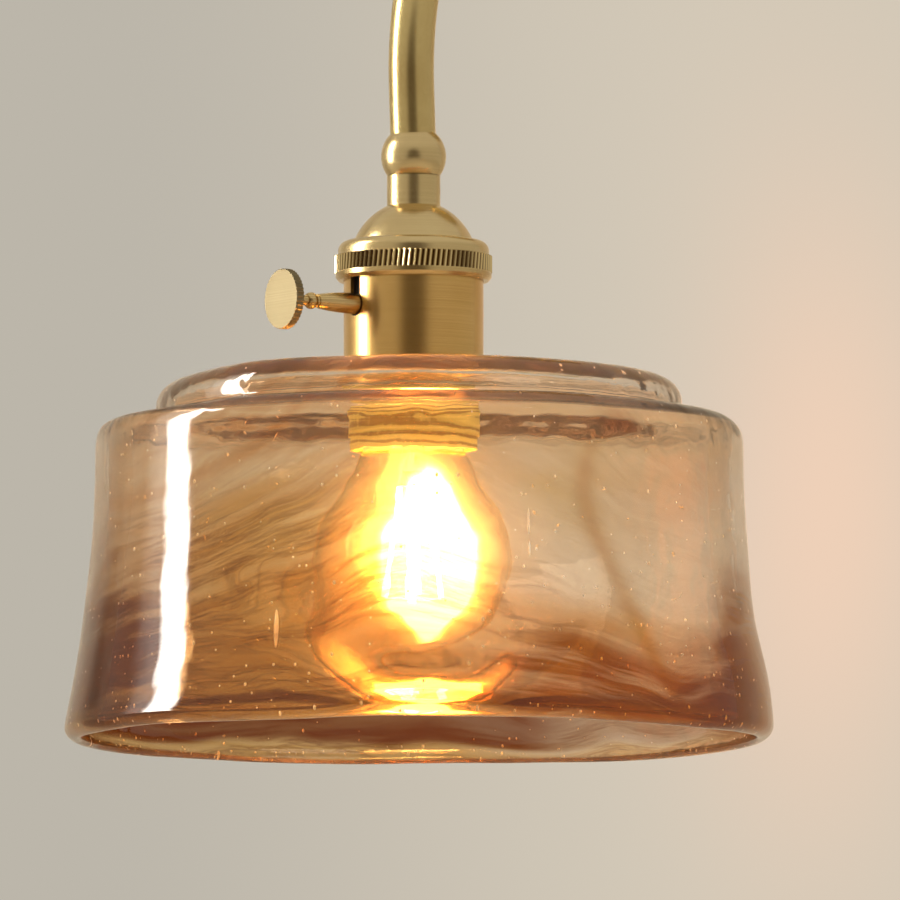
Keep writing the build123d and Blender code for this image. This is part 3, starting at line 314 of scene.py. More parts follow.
def noise(place, scale, detail=2.0):
    """Soft noise over a place."""
    return add(place.tree, "TexNoise", {"Vector": place, "Scale": scale, "Detail": detail})


def soft_step(value, low, high):
    """0 below low, 1 above high, smooth between."""
    inputs = {"Value": value, "From Min": low, "From Max": high}
    return add(value.tree, "MapRange", inputs, interpolation_type="SMOOTHSTEP")


def bell(*spreads):
    """1 where values are at their centres, falling off over a width. Spreads are (value, centre, width)."""
    square = sum(((value - centre) / width) ** 2 for value, centre, width in spreads)
    return (square * -1.0).maths("EXPONENT")


def blend(factor, first, second, mode="MIX"):
    """Mix two colours."""
    tree = next(item.tree for item in (factor, first, second) if isinstance(item, Value))
    inputs = {"Factor": factor, 6: first, 7: second}
    return add(tree, "Mix", inputs, 2, data_type="RGBA", blend_type=mode)


def ramp(value, low, first, high, second):
    """Colour that goes from the first to the second while a value goes from low to high."""
    tint = add(value.tree, "ValToRGB", {"Fac": value})
    for element, place, code in zip(tint.socket.node.color_ramp.elements, (low, high), (first, second)):
        element.position = place
        element.color = to_linear(code)
    return tint


def bump(height, strength, distance, **inputs):
    """Normal that follows a height, over a distance in metres."""
    inputs.update(Height=height, Strength=strength, Distance=distance)
    return add(height.tree, "Bump", inputs)


def mix(factor, first, second):
    """Mix two shaders."""
    return add(first.tree, "MixShader", {0: factor, 1: first, 2: second})


def emission(tree, tint, strength=1.0):
    """Shader that shines."""
    return add(tree, "Emission", {"Color": tint, "Strength": strength})


def see_through(tree, tint="#FFFFFF"):
    """Shader that lets everything through, tinted."""
    return add(tree, "BsdfTransparent", {"Color": tint})


def glass_surface(tree, tint, roughness, normal):
    """Clear soda glass."""
    return add(tree, "BsdfPrincipled", {
        "Base Color": tint,
        "Roughness": roughness,
        "IOR": SODA_GLASS_IOR,
        "Transmission Weight": 1.0,
        "Normal": normal,
    })


def towards_edge(tree, power):
    """0 where a surface faces the eye, 1 where it is seen along its face."""
    return add(tree, "LayerWeight", {"Blend": 0.5}, "Facing") ** power


def clear_to_shadows(surface, tint):
    """Let lamp light through a glass shader, which would otherwise cast a solid shadow."""
    shadow = add(surface.tree, "LightPath", output="Is Shadow Ray")
    return mix(shadow, surface, see_through(surface.tree, tint))


def seen_directly(tree):
    """1 for what the camera sees itself or through glass, 0 for light and reflections."""
    camera = add(tree, "LightPath", output="Is Camera Ray")
    return camera.maths("MAXIMUM", add(tree, "LightPath", output="Is Transmission Ray"))


def give(material, *nodes):
    """Put one material on CAD nodes or pieces."""
    for item in nodes:
        piece = frame["nodes"][item] if isinstance(item, str) else item
        piece.data.materials.clear()
        piece.data.materials.append(material)


def start_piece():
    """Deselect everything before a primitive is added."""
    if bpy.context.object and bpy.context.object.mode != "OBJECT":
        bpy.ops.object.mode_set(mode="OBJECT")
    bpy.ops.object.select_all(action="DESELECT")


def settle_piece(name, smooth_angle=40):
    """Name the active piece, put its place in its mesh and shade it."""
    piece = bpy.context.object
    bpy.ops.object.transform_apply(location=True, rotation=True, scale=True)
    bpy.ops.object.shade_smooth_by_angle(angle=radians(smooth_angle))
    piece.name = name
    piece.data.name = name
    return piece


def add_board(name, place, turn, width, height):
    """Upright board that faces a bearing."""
    start_piece()
    bpy.ops.mesh.primitive_plane_add(size=1.0, location=place)
    board = bpy.context.object
    board.rotation_euler = (pi / 2, 0, turn)
    board.scale = (width, height, 1)
    return settle_piece(name)


def turn_rings(rings, centre, segments):
    """Turn a profile of (radius, height) rings round an upright axis, and select its open ends."""
    start_piece()
    radius, height = rings[0]
    place = (centre.x, centre.y, centre.z + height)
    bpy.ops.mesh.primitive_circle_add(vertices=segments, radius=radius, location=place, enter_editmode=True)
    for next_radius, next_height in rings[1:]:
        rise = next_height - height
        bpy.ops.mesh.extrude_region_move(TRANSFORM_OT_translate={"value": (0, 0, rise)})
        grow = next_radius / radius
        place = (centre.x, centre.y, centre.z + next_height)
        bpy.ops.transform.resize(value=(grow, grow, 1), center_override=place)
        radius, height = next_radius, next_height
    bpy.ops.mesh.select_all(action="DESELECT")
    bpy.ops.mesh.select_mode(type="EDGE")
    bpy.ops.mesh.select_non_manifold()


def close_piece():
    """Turn a closed mesh's faces outwards and leave edit mode."""
    bpy.ops.mesh.select_all(action="SELECT")
    bpy.ops.mesh.normals_make_consistent(inside=False)
    bpy.ops.object.mode_set(mode="OBJECT")
    return bpy.context.object


def apply_modifier(piece, name, kind, **settings):
    """Add a modifier and apply it at once."""
    modifier = piece.modifiers.new(name, kind)
    for key, value in settings.items():
        setattr(modifier, key, value)
    bpy.ops.object.modifier_apply(modifier=modifier.name)


def eased(share):
    """A share kept between 0 and 1, with soft ends."""
    share = min(max(share, 0), 1)
    return share * share * (3 - 2 * share)


def mark(piece, name, weight):
    """Vertex group, weighted by each vertex's place from the swivel's centre and its normal."""
    group = piece.vertex_groups.new(name=name)
    for vertex in piece.data.vertices:
        share = weight(vertex.co - PIVOT, vertex.normal)
        if share > 0:
            group.add([vertex.index], share, "REPLACE")


def push(piece, name, group, direction, distance):
    """Move a group's vertices by a distance along a direction."""
    for axis, share in zip("XYZ", direction):
        if share:
            apply_modifier(
                piece, name, "DISPLACE",
                direction=axis, mid_level=0.0, strength=distance * share, vertex_group=group,
            )


def arc(centre, radius, start, end, steps):
    """Points of an arc in the profile plane, from one angle in degrees to another."""
    points = []
    for i in range(steps + 1):
        turn = radians(start + (end - start) * i / steps)
        points.append((centre[0] + radius * cos(turn), centre[1] + radius * sin(turn)))
    return points


def camera_axes(studio):
    """Right, up and back directions of the camera."""
    a, e = studio.azimuth, studio.elevation
    back = Vector((sin(a) * cos(e), -cos(a) * cos(e), sin(e)))
    right = Vector((cos(a), sin(a), 0))
    return right, back.cross(right), back


def levelled(direction):
    """A direction's level part, one metre long."""
    return Vector((direction.x, direction.y, 0)).normalized()


def brass(name, settings, lines="around", roughness=None, cast=None, share=0.5):
    """Lacquered satin brass. Its lines run round an upright axis or lie any way. Cast leans its colour."""
    material, tree = new_material(name)
    turned = lines == "around"
    across = 6.0
    along = 1 / settings.line_spacing
    stretch = (across, across, along) if turned else (along / 3, along / 3, along / 3)
    brushed = noise(object_place(tree, scale=stretch), 1.0, 3.0)
    cloud = noise(object_place(tree), 55.0, 4.0)
    # Turned lines show more than a satin polish does
    grain = 0.35 if turned else 0.12
    tint = blend(soft_step(cloud, 0.35, 0.7), settings.satin, settings.tarnish)
    tint = blend(grain, tint, ramp(brushed, 0.3, "#A88C58", 0.7, "#EBD8AA"))
    if cast:
        tint = blend(share, tint, cast)
    base = settings.roughness if roughness is None else roughness
    surface = add(tree, "BsdfPrincipled", {
        "Base Color": tint,
        "Metallic": 1.0,
        "Roughness": brushed * (grain / 3) + (base - grain / 6),
        "Normal": bump(brushed, grain / 3, 0.00006),
    })
    return finish_material(material, surface)


class WALLLIGHT_OT_brass(bpy.types.Operator):
    """Gives the brass pieces their satin, turned and brushed finishes"""

    bl_idname = "walllight.brass"
    bl_label = "Brass finishes"

    def execute(self, context):
        settings = context.scene.wall_light_brass
        # Satin brass tube, polished along its length and lacquered: a soft broad gleam with no clear lines
        satin = brass("satin_brass_lacquered", settings, lines="any", cast="#D6C78C", share=0.4)
        give(satin, "arm_tube", "wall_plate", "arm_collar", "dome_nuts")
        # Turned brass: faint rings round the axis break up the gleam
        turned = brass("turned_brass_lacquered", settings, cast="#D6C394")
        give(turned, "ball_housing", "neck_sleeve", "socket_cap", "shade_ring", "swivel_stem")
        # Faced brass: the key's disc is duller than the tubes, and its grey cast is painted shade that dims
        # it where the left lamp lights it strongly
        give(brass("key_brass_faced", settings, roughness=0.55, cast="#58594E", share=0.7), "key_disc")
        # Turned brass without a cast: the key's stem is a little pinker
        give(brass("key_brass_turned", settings), "key_stem")
        # Machined brass: a rougher, plainer gleam on the hidden fittings
        machined = brass("machined_brass", settings, lines="any", roughness=0.35)
        give(machined, "arm_nipple", "terminal_screws", "insert_screws", "neck_grub_screw", "screw_shell",
             "block_screws", "stem_nut", "lock_nut")
        give(self.threaded(settings), "socket_shell")
        give(self.knurled(settings), "knurled_ring")
        return {"FINISHED"}

    def finished_inputs(self, material):
        """Inputs of a finished material's surface."""
        return next(node.inputs for node in material.node_tree.nodes if node.type == "BSDF_PRINCIPLED")

    def threaded(self, settings):
        """Drawn shell: brushed above the shade, with a rolled thread on the skirt below it."""
        # The shell's warm orange cast is painted light: the amber glow of the bulb through the glass
        material = brass("shell_brass_drawn", settings, cast="#DDAA58")
        inputs = self.finished_inputs(material)
        place = object_place(material.node_tree, centre=PIVOT)
        x, y, z = split(place)
        lead = y.maths("ARCTAN2", x) * (settings.thread_pitch / (2 * pi)) + z
        wave = (lead * (2 * pi / settings.thread_pitch)).maths("SINE")
        edge = 0.5 * MM
        below = soft_step(z, THREAD_TOP + edge, THREAD_TOP - edge)
        height = wave * (below * soft_step(z, THREAD_END - edge, THREAD_END + edge))
        plug(inputs["Normal"], bump(height, 1.0, 0.0004, Normal=feed(inputs["Normal"])))
        # The rolled skirt is left unlacquered and matt, so it catches the bulb's light; its pale yellow tint
        # is painted glow from the lit bulb below
        plug(inputs["Roughness"], feed(inputs["Roughness"]).maths("MAXIMUM", below * 0.6))
        plug(inputs["Metallic"], below * -0.75 + 1.0)
        tint = blend(below * 0.85, feed(inputs["Base Color"]), "#FFF08A")
        # Painted shade darkens each thread's root, its edge broken up by fine noise
        painted_root_shade = soft_step(noise(place, 900.0, 3.0) * 2.4 + wave, 1.3, 0.3) * (below * 0.75)
        plug(inputs["Base Color"], blend(painted_root_shade, tint, "#8A5210"))
        return material

    def knurled(self, settings):
        """Knurled brass: painted highlights on the crests, and painted shade in the slanting flutes'
        grooves.
        """
        material = brass("knurled_brass", settings, roughness=0.22)
        base_colour = self.finished_inputs(material)["Base Color"]
        plain = feed(base_colour)
        place = object_place(material.node_tree, centre=PIVOT)
        low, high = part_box("knurled_ring")
        crest = (high[0] - low[0]) / 2
        painted_crest_light = soft_step(from_axis(place), crest - settings.knurl_depth, crest - 0.1 * settings.knurl_depth)
        # Painted shade darkens the grooves, and a painted highlight pales the crests
        tint = blend(painted_crest_light, "#76592C", blend(0.7, plain, "#F0DCA8"))
        # Only the fluted band is coloured so; the plain edges over and under it stay bright
        level = split(place)[2]
        edge = 0.1 * MM
        fluted = soft_step(level, FLUTES_END - edge, FLUTES_END + edge)
        fluted = fluted * soft_step(level, FLUTES_TOP + edge, FLUTES_TOP - edge)
        plug(base_colour, blend(fluted, plain, tint))
        return material


class WALLLIGHT_OT_inner(bpy.types.Operator):
    """Gives the electrical and hidden pieces their materials"""

    bl_idname = "walllight.inner"
    bl_label = "Inner pieces"

    # Name, light and dark tone, roughness, metal, scale of the mottle, and the nodes
    finishes = (
        # Zinc-plated steel: a cool grey spangle over a rolled surface
        ("zinc_plated_steel", "#B4B8BC", "#8F959B", 0.38, 1.0, 900.0,
         "mounting_bracket", "canopy_studs", "lock_washer", "stem_washer", "earth_screw"),
        # Tinned copper and nickel: pale, slightly warm metal with a soft drawn sheen
        ("tinned_copper", "#CFCBC4", "#B3ADA3", 0.3, 1.0, 500.0, "earth_tags", "centre_contact"),
        ("nickel_plated_brass", "#C9C4B8", "#A9A292", 0.28, 1.0, 400.0,
         "bulb_cap", "bulb_contact", "filament_wires"),
        # Nylon, phenolic, porcelain, fibre, rubber and vitrite: moulded or fired, with a faint mottle
        ("white_nylon_moulded", "#E4E1D8", "#D5D1C6", 0.45, 0.0, 300.0, "terminal_block"),
        ("black_phenolic_moulded", "#1B1918", "#262220", 0.32, 0.0, 300.0,
         "switch_housing", "switch_rotor", "switch_spindle"),
        ("glazed_porcelain", "#EEEAE2", "#E2DDD2", 0.12, 0.0, 120.0, "socket_body"),
        ("dark_vulcanised_fibre", "#3A2B20", "#2A1F18", 0.7, 0.0, 700.0, "insulating_liner"),
        ("silicone_rubber_moulded", "#B9B2A6", "#A8A196", 0.55, 0.0, 400.0, "upper_gasket", "lower_gasket"),
        ("black_vitrite_glass", "#141312", "#201E1C", 0.15, 0.0, 300.0, "bulb_insulator"),
        # PVC insulation: soft gloss from extrusion
        ("brown_pvc", "#5A3420", "#4A2A19", 0.4, 0.0, 250.0, "live_lead", "live_tail"),
        ("blue_pvc", "#2F62A8", "#275290", 0.4, 0.0, 250.0, "neutral_lead", "neutral_tail"),
    )

    def execute(self, context):
        for name, light, dark, roughness, metallic, scale, *nodes in self.finishes:
            give(self.speckled(name, light, dark, roughness, metallic, scale), *nodes)
        give(self.striped(), "earth_lead")
        return {"FINISHED"}

    def speckled(self, name, light, dark, roughness, metallic, scale):
        """Plain finish with a fine two-tone mottle and a matching change of gloss."""
        material, tree = new_material(name)
        mottle = noise(object_place(tree), scale, 3.0)
        surface = add(tree, "BsdfPrincipled", {
            "Base Color": ramp(mottle, 0.35, dark, 0.65, light),
            "Metallic": metallic,
            "Roughness": mottle * 0.1 + (roughness - 0.05),
            "Normal": bump(mottle, 0.1, 0.00005),
        })
        return finish_material(material, surface)

    def striped(self):
        """Extruded green and yellow PVC of an earth lead: two clean colours in slanting bands."""
        material, tree = new_material("green_yellow_pvc")
        wave = add(
            tree, "TexWave", {"Vector": object_place(tree), "Scale": 60.0}, "Fac",
            wave_type="BANDS", bands_direction="DIAGONAL",
        )
        tint = ramp(wave, 0.62, "#2E7A33", 0.64, "#D9C631")
        surface = add(tree, "BsdfPrincipled", {"Base Color": tint, "Roughness": 0.4})
        return finish_material(material, surface)


class WALLLIGHT_OT_shade(bpy.types.Operator):
    """Blows the glass shade, with its tiers, thick lip, waver and swirls"""

    bl_idname = "walllight.shade"
    bl_label = "Blown shade"

    def execute(self, context):
        s = context.scene.wall_light_shade
        studio = context.scene.wall_light_studio
        turn_rings(self.profile(s), PIVOT, 144)
        bpy.ops.mesh.bridge_edge_loops()
        piece = close_piece()
        bpy.ops.object.transform_apply(location=True, rotation=True, scale=True)
        self.waver(piece, s, studio)
        apply_modifier(piece, "Smooth wall", "SUBSURF", levels=1, render_levels=1)
        piece = settle_piece("blown_shade", 180)
        give(self.glass(s, studio), piece)
        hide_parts("glass_shade")
        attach(piece, "head")
        return {"FINISHED"}

    def profile(self, s):
        """Rings of the wall, down the outside from the hole and up the inside again."""
        step = 2.5 * MM
        tier, shoulder, rim = s.tier_radius, s.shoulder_radius, s.rim_radius
        top, ledge, foot = s.top_level, s.shoulder_level, s.rim_level
        clamped = s.hole_radius + 4 * MM
        outside = [(s.hole_radius, top), (clamped, top), (tier * 0.55, top), (tier - 1.6 * s.tier_edge, top)]
        outside += arc((tier - s.tier_edge, top - s.tier_edge), s.tier_edge, 90, 0, 5)
        outside += arc((tier + step, ledge + step), step, 180, 270, 3)
        outside += arc((shoulder - s.shoulder_edge, ledge - s.shoulder_edge), s.shoulder_edge, 90, 0, 6)
        start, lip = ledge - s.shoulder_edge, foot + s.lip_height
        flare = []
        for i in range(1, 17):
            share = i / 16
            flare.append((shoulder + (rim - shoulder) * share**2.1, start + (lip - start) * share))
        outside += flare
        # Heavy lip, well rounded outside and crisper inside
        bead = s.lip_wall - 1.6 * MM
        for i in range(1, 6):
            turn = radians(18 * i)
            outside.append((rim - bead + bead * cos(turn), lip - s.lip_height * sin(turn)))
        inside = [
            (rim - s.lip_wall + 0.5 * MM, foot + 0.4 * MM),
            (rim - s.lip_wall, foot + 1.6 * MM),
            (rim - s.lip_wall + 0.7 * MM, foot + 2.9 * MM),
        ]
        inside += [(radius - s.wall, height) for radius, height in reversed(flare)]
        inner_edge = 1.5 * MM
        inside += arc((shoulder - s.wall - inner_edge, ledge - s.wall - inner_edge), inner_edge, 0, 90, 4)
        inside += arc((tier - s.wall + step, ledge - s.wall + step), step, 270, 180, 3)
        small = s.tier_edge - s.wall
        ceiling = top - s.crown
        inside += arc((tier - s.wall - small, ceiling - small), small, 0, 90, 3)
        inside += [(tier * 0.55, ceiling), (clamped, ceiling), (s.hole_radius, ceiling)]
        return outside + inside

    def waver(self, piece, s, studio):
        """Slow wander of the wall, as a blown form has, and a small drift off the hole's axis."""
        right, _, back = camera_axes(studio)
        front = levelled(back)

        def blown(place, normal):
            """The clamped hole stays true, and the wall strays."""
            return eased((place.xy.length - s.hole_radius - 6 * MM) / (45 * MM))

        def bulging(place, normal):
            """The lip at the right, where the brown glass gathers."""
            away = Vector((place.dot(right) - 0.104, (place.z - s.rim_level - 0.018) * 1.6)).length
            return eased(1 - away / 0.036)

        def sunken(place, normal):
            """The top's left side."""
            return eased((-place.dot(right) - 0.045) / 0.035) if place.z > s.shoulder_level - 0.002 else 0

        def dropping(place, normal):
            """The wall's inner face in front of the bulb. It widens upwards into a thick, even wall."""
            if normal.xy.dot(place.xy) >= 0 or place.dot(front) <= 0:
                return 0
            down = place.z - s.rim_level - 0.0105
            across = (place.dot(right) - 0.003) / (0.021 + min(1.3 * max(down, 0), 0.04))
            down /= 0.08 if down > 0 else 0.0054
            share = exp(-across**4 - down**2)
            return share if share > 0.01 else 0

        mark(piece, "blown", blown)
        for name, size, strength in (("slow_waver", 0.075, s.waver), ("ripple", 0.024, s.waver * 0.22)):
            texture = bpy.data.textures.new(name, "CLOUDS")
            texture.cloud_type = "COLOR"
            texture.noise_scale = size
            texture.noise_depth = 1
            apply_modifier(
                piece, name, "DISPLACE", texture=texture, texture_coords="LOCAL", direction="RGB_TO_XYZ",
                mid_level=0.5, strength=strength, vertex_group="blown",
            )
        mark(piece, "bulge", bulging)
        mark(piece, "sunk", sunken)
        # The top's left side sank a little as it cooled, and the lip sagged outwards at the right
        push(piece, "Sunk", "sunk", Vector((0, 0, 1)), -1.8 * MM)
        push(piece, "Bulge", "bulge", right, 1.6 * MM)
        # A drop of glass hangs inside the wall, and throws the bulb's image down to the lip
        mark(piece, "drop", dropping)
        push(piece, "Drop", "drop", front, -s.drop)
        push(piece, "Drift", "blown", right, s.drift)

    def glass(self, s, studio):
        """Soda glass, blown: clear and faintly warm above, with amber wisps and brown swirls lower down."""
        material, tree = new_material("blown_soda_glass")
        place = object_place(tree, centre=PIVOT, turn=(0, 0, studio.azimuth))
        true_x, true_y, true_z = split(place)
        near = soft_step(true_y, 0.02, -0.02)
        # Slow warp that bends every streak, about 80 mm across
        warp = add(tree, "TexNoise", {"Vector": place, "Scale": 13.0, "Detail": 2.0}, "Color")
        warp = vector_maths("SUBTRACT", warp, (0.5, 0.5, 0.5))
        x, y, z = split(vector_maths("MULTIPLY_ADD", warp, (0.03, 0.03, 0.03), place))
        # Share of the way down from shoulder to rim
        down = add(tree, "MapRange", {"Value": z, "From Min": s.shoulder_level, "From Max": s.rim_level})
        # Streaks rise from both sides towards the middle, and lie level near the rim
        rise = (x * x + 0.0004).maths("SQRT") * 1.1 * (1.0 - down)
        lines = add(tree, "CombineXYZ", {"X": x, "Y": y, "Z": z + rise})
        swirl = self.streaks(lines, (8, 8, 34), 4.0)
        fine = self.streaks(lines, (14, 14, 120), 5.0)
        hair = self.streaks(lines, (26, 26, 380), 3.0)
        strands = soft_step(hair * 0.35 + fine, 0.5, 0.84)
        # The honey tint starts higher at the left than at the right
        low = fine * 0.8 + (down - 0.4) + soft_step(x, -0.02, 0.07) * -0.4
        low = low + self.patches(x, z, HONEY_PATCHES)
        tint = blend(soft_step(low, 0.3, 0.85), s.clear, s.honey)
        # Amber wisps: faint clouds all over, more of them at the left
        wisps = soft_step(fine * 0.4 + swirl, 0.6, 0.88) * (soft_step(x, 0.05, -0.04) * 0.35 + 0.12)
        tint = blend(wisps + self.patches(x, z, AMBER_PATCHES), tint, s.amber)
        # Yellow patches, and one long curl at the right
        yellow = self.patches(x, z, YELLOW_PATCHES) * (strands * 0.5 + 0.4)
        tint = blend(yellow.clamped(), tint, s.olive)
        tint = blend(self.curl(x, z) * near * 0.75, tint, "#D8A448")
        # The glass is clearer at the right, but for a band under the shoulder and the foot
        clearer = soft_step(true_z, -0.094, -0.102) + soft_step(true_z, -0.0825, -0.0805)
        clearer = clearer * soft_step(true_x, 0.0, 0.04) * soft_step(true_z, -0.154, -0.14)
        tint = blend(clearer * 0.3, tint, "#FFFFFF")
        # Thin strings of colour lie along the streaks
        string = bell((fine, 0.52, 0.022)) * (soft_step(low, 0.2, 0.7) * 0.45 + 0.08)
        tint = blend(string, tint, "#9A5C2E")
        # Brown swirls: a cloud at the lower left, a wedge at the right of the bulb and a long band under it
        dark = self.patches(x, z, BROWN_SWIRLS) * near
        # At both sides the wall is seen along its depth, near and far alike
        dark = dark + self.patches(x, z, BROWN_SIDES)
        ragged = soft_step(swirl * 1.6 + down, 1.4, 2.0)
        dark = (dark + ragged * 0.22) * (strands * 0.9 + 0.4)
        brown = blend(soft_step(x, -0.02, 0.04), s.brown, "#B56C14")
        tint = blend(dark.clamped(), tint, brown)
        # Painted shade: a dark band along the shoulder's rounded edge
        painted_shoulder_shade = soft_step(from_axis(place), 0.0895, 0.0925) * soft_step(true_z, -0.0854, -0.083) * near
        tint = blend(painted_shoulder_shade, tint, "#6A4830")
        # Russet band inside the rim at the back, where one wall is seen alone, over a paler lip
        end = soft_step(x, 0.02, 0.07) * -0.02 + down
        band = soft_step(down, 0.79, 0.83) * soft_step(end, 0.955, 0.92) * (1.0 - near)
        band = (band * (strands * 0.3 + 0.8)).clamped() * (soft_step(x, 0.035, 0.06) * -0.5 + 1.0)
        tint = blend(band, tint, s.russet)
        # The wall is wavier at the back than in front, and most of all along the shoulder
        wavier = near * -2.6 + 3.6 + soft_step(true_z, -0.0905, -0.081) * 5.0
        normal = bump(noise(place, 60.0) * wavier, 0.3, 0.0006)
        # Seen along the wall, the glass is deeper in colour
        deeper = blend(1.0, tint, "#A88560", "MULTIPLY")
        tint = blend(towards_edge(tree, 3.0) * 0.8, tint, deeper)
        surface = glass_surface(tree, tint, 0.015, normal)
        # Fine seed and dust scatter a little light, which spreads the bulb's glow
        hazy = add(tree, "BsdfGlass", {"Color": tint, "Roughness": 0.38, "IOR": SODA_GLASS_IOR})
        surface = clear_to_shadows(mix(0.065, surface, hazy), "#FBF6EC")
        depth = add(tree, "VolumeAbsorption", {"Color": s.depth_tint, "Density": 14.0})
        return finish_material(material, surface, depth)

    def streaks(self, place, scale, detail):
        """Noise drawn out along the glass blower's turns."""
        place = add(place.tree, "Mapping", {"Vector": place, "Scale": scale})
        return add(place.tree, "TexNoise", {
            "Vector": place, "Scale": 1.0, "Detail": detail, "Roughness": 0.6, "Distortion": 0.25,
        })

    def patches(self, x, z, places):
        """Soft round patches on the wall."""
        return sum(
            bell((x, across, width), (z, level, height)) * share
            for across, level, width, height, share in places
        )

    def curl(self, x, z):
        """Long curved wisp that bends outwards as it falls."""
        bend = (z + 0.105) ** 2 * 7.0
        return bell((x - bend, 0.0528, 0.0038)) * soft_step(z, -0.092, -0.108)


class WALLLIGHT_OT_bubbles(bpy.types.Operator):
    """Scatters seed bubbles inside the shade's wall"""

    bl_idname = "walllight.bubbles"
    bl_label = "Seed bubbles"

    def execute(self, context):
        s = context.scene.wall_light_shade
        shade = bpy.data.objects["blown_shade"]
        walls = [f for f in shade.data.polygons if (f.center - PIVOT).xy.dot(f.normal.xy) > 0]
        # Blender lists a turned mesh's faces in another order at each run, so they are put in order of place
        walls.sort(key=lambda f: (round(f.center.z, 5), round(f.center.x, 5), round(f.center.y, 5)))
        seeds = self.scattered(s, walls) + self.drawn_out(context.scene.wall_light_studio, walls)
        start_piece()
        bpy.ops.mesh.primitive_ico_sphere_add(subdivisions=2, radius=1.0, location=(0, 0, 0))
        seed = bpy.context.object
        for face, depth, scale in seeds:
            copy = seed.copy()
            copy.data = seed.data.copy()
            context.scene.collection.objects.link(copy)
            copy.location = face.center - face.normal * s.wall * depth
            copy.scale = scale
            copy.select_set(True)
        seed.location = walls[0].center - walls[0].normal * s.wall * 0.5
        seed.scale = (s.bubble_radius,) * 3
        bpy.ops.object.join()
        piece = settle_piece("seed_bubbles", 180)
        give(self.sheen(), piece)
        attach(piece, "head")
        return {"FINISHED"}

    def scattered(self, s, walls):
        """Small seeds all over the wall, more of them towards the rim: face, depth in the wall and size."""
        chance = random.Random(5)
        weights = [max(f.area * (0.4 + (PIVOT.z + s.shoulder_level - f.center.z) / 0.1), 0) for f in walls]
        seeds = []
        for face in chance.choices(walls, weights, k=s.bubbles):
            size = s.bubble_radius * chance.choice((0.55, 0.7, 0.8, 1.0, 1.0, 1.4))
            seeds.append((face, chance.uniform(0.3, 0.7), (size, size, size * chance.uniform(1.0, 1.6))))
        return seeds

    def drawn_out(self, studio, walls):
        """A few seeds that were drawn out long as the wall was pulled down."""
        right, _, back = camera_axes(studio)
        seeds = []
        for across, level, radius, half_length in LONG_SEEDS:
            spot = PIVOT + right * across + back * 0.09
            spot.z = PIVOT.z + level
            face = min(walls, key=lambda f: (f.center - spot).xy.length + abs(f.center.z - spot.z))
            seeds.append((face, 0.5, (radius * MM, radius * MM, half_length * MM)))
        return seeds

    def sheen(self):
        """Air in glass as painted glints: white matt specks that the bulb lights from behind, so each shows
        as a bright speck.
        """
        material, tree = new_material("seed_bubble_sheen")
        tint = ramp(noise(object_place(tree), 40.0), 0.3, "#FFF0D8", 0.7, "#FFFFFF")
        lit = add(tree, "BsdfDiffuse", {"Color": tint})
        behind = add(tree, "BsdfTranslucent", {"Color": tint})
        return finish_material(material, mix(0.6, lit, behind))


class WALLLIGHT_OT_bulb(bpy.types.Operator):
    """Lights the bulb: clear glass, bright filaments and the glare round them"""

    bl_idname = "walllight.bulb"
    bl_label = "Lit bulb"

    def execute(self, context):
        s = context.scene.wall_light_bulb
        give(self.clear_glass("bulb_glass_blown", "#FFF6E6"), "bulb_glass")
        give(self.clear_glass("bulb_stem_pressed", "#FBF3E4"), "bulb_stem")
        give(self.filament(s), "bulb_filaments")
        turn_rings([(radius * MM, level * MM) for radius, level in GLARE_RINGS], PIVOT, 48)
        bpy.ops.mesh.edge_face_add()
        piece = close_piece()
        apply_modifier(piece, "Round", "SUBSURF", levels=1, render_levels=1)
        piece = settle_piece("filament_glare", 180)
        give(self.glare(s, context.scene.wall_light_studio), piece)
        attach(piece, "head")
        return {"FINISHED"}

    def clear_glass(self, name, code):
        """Thin clear glass with the faint ripple of a machine-blown bulb."""
        material, tree = new_material(name)
        normal = bump(noise(object_place(tree), 90.0), 0.15, 0.0004)
        # So thin a wall shows hardly any dark edge
        edge = (towards_edge(tree, 5.0) * 1.2).clamped()
        surface = mix(edge, glass_surface(tree, code, 0.01, normal), see_through(tree, "#FFF0D4"))
        return finish_material(material, clear_to_shadows(surface, "#FFFAF2"))

    def filament(self, s):
        """Lit phosphor coat: bright all over, a little uneven along each rod."""
        material, tree = new_material("lit_phosphor_coat")
        surface = add(tree, "BsdfPrincipled", {
            "Base Color": "#FFD69A",
            "Roughness": 0.6,
            "Emission Color": ramp(noise(object_place(tree), 700.0), 0.3, "#FFB45E", 0.7, "#FFD69A"),
            "Emission Strength": s.filament_strength,
        })
        return finish_material(material, surface)

    def glare(self, s, studio):
        """Glare round lit filaments: strongest on the bulb's axis and fading towards its glass."""
        material, tree = new_material("filament_glare")
        aside = camera_axes(studio)[0] * 0.0045
        place = object_place(tree, centre=PIVOT + aside + Vector((0, 0, GLARE_CENTRE)))
        z = split(place)[2]
        # It narrows towards both ends
        narrow = soft_step(z, -0.015, -0.027) * 1.3 + 1.0 + soft_step(z, 0.005, 0.02) * 0.4
        fall = (from_axis(place) * narrow / s.glare_radius) ** 2 + (z / s.glare_reach) ** 2
        core = (fall * -10.0 + 8.9).maths("EXPONENT").maths("MINIMUM", 1.0)
        halo = (fall * -0.7).maths("EXPONENT")
        light = emission(tree, s.glow, (halo * 0.008 + core) * s.glare_strength)
        return finish_material(material, mix(0.06, see_through(tree), emission(tree, "#FFB25A")), light)


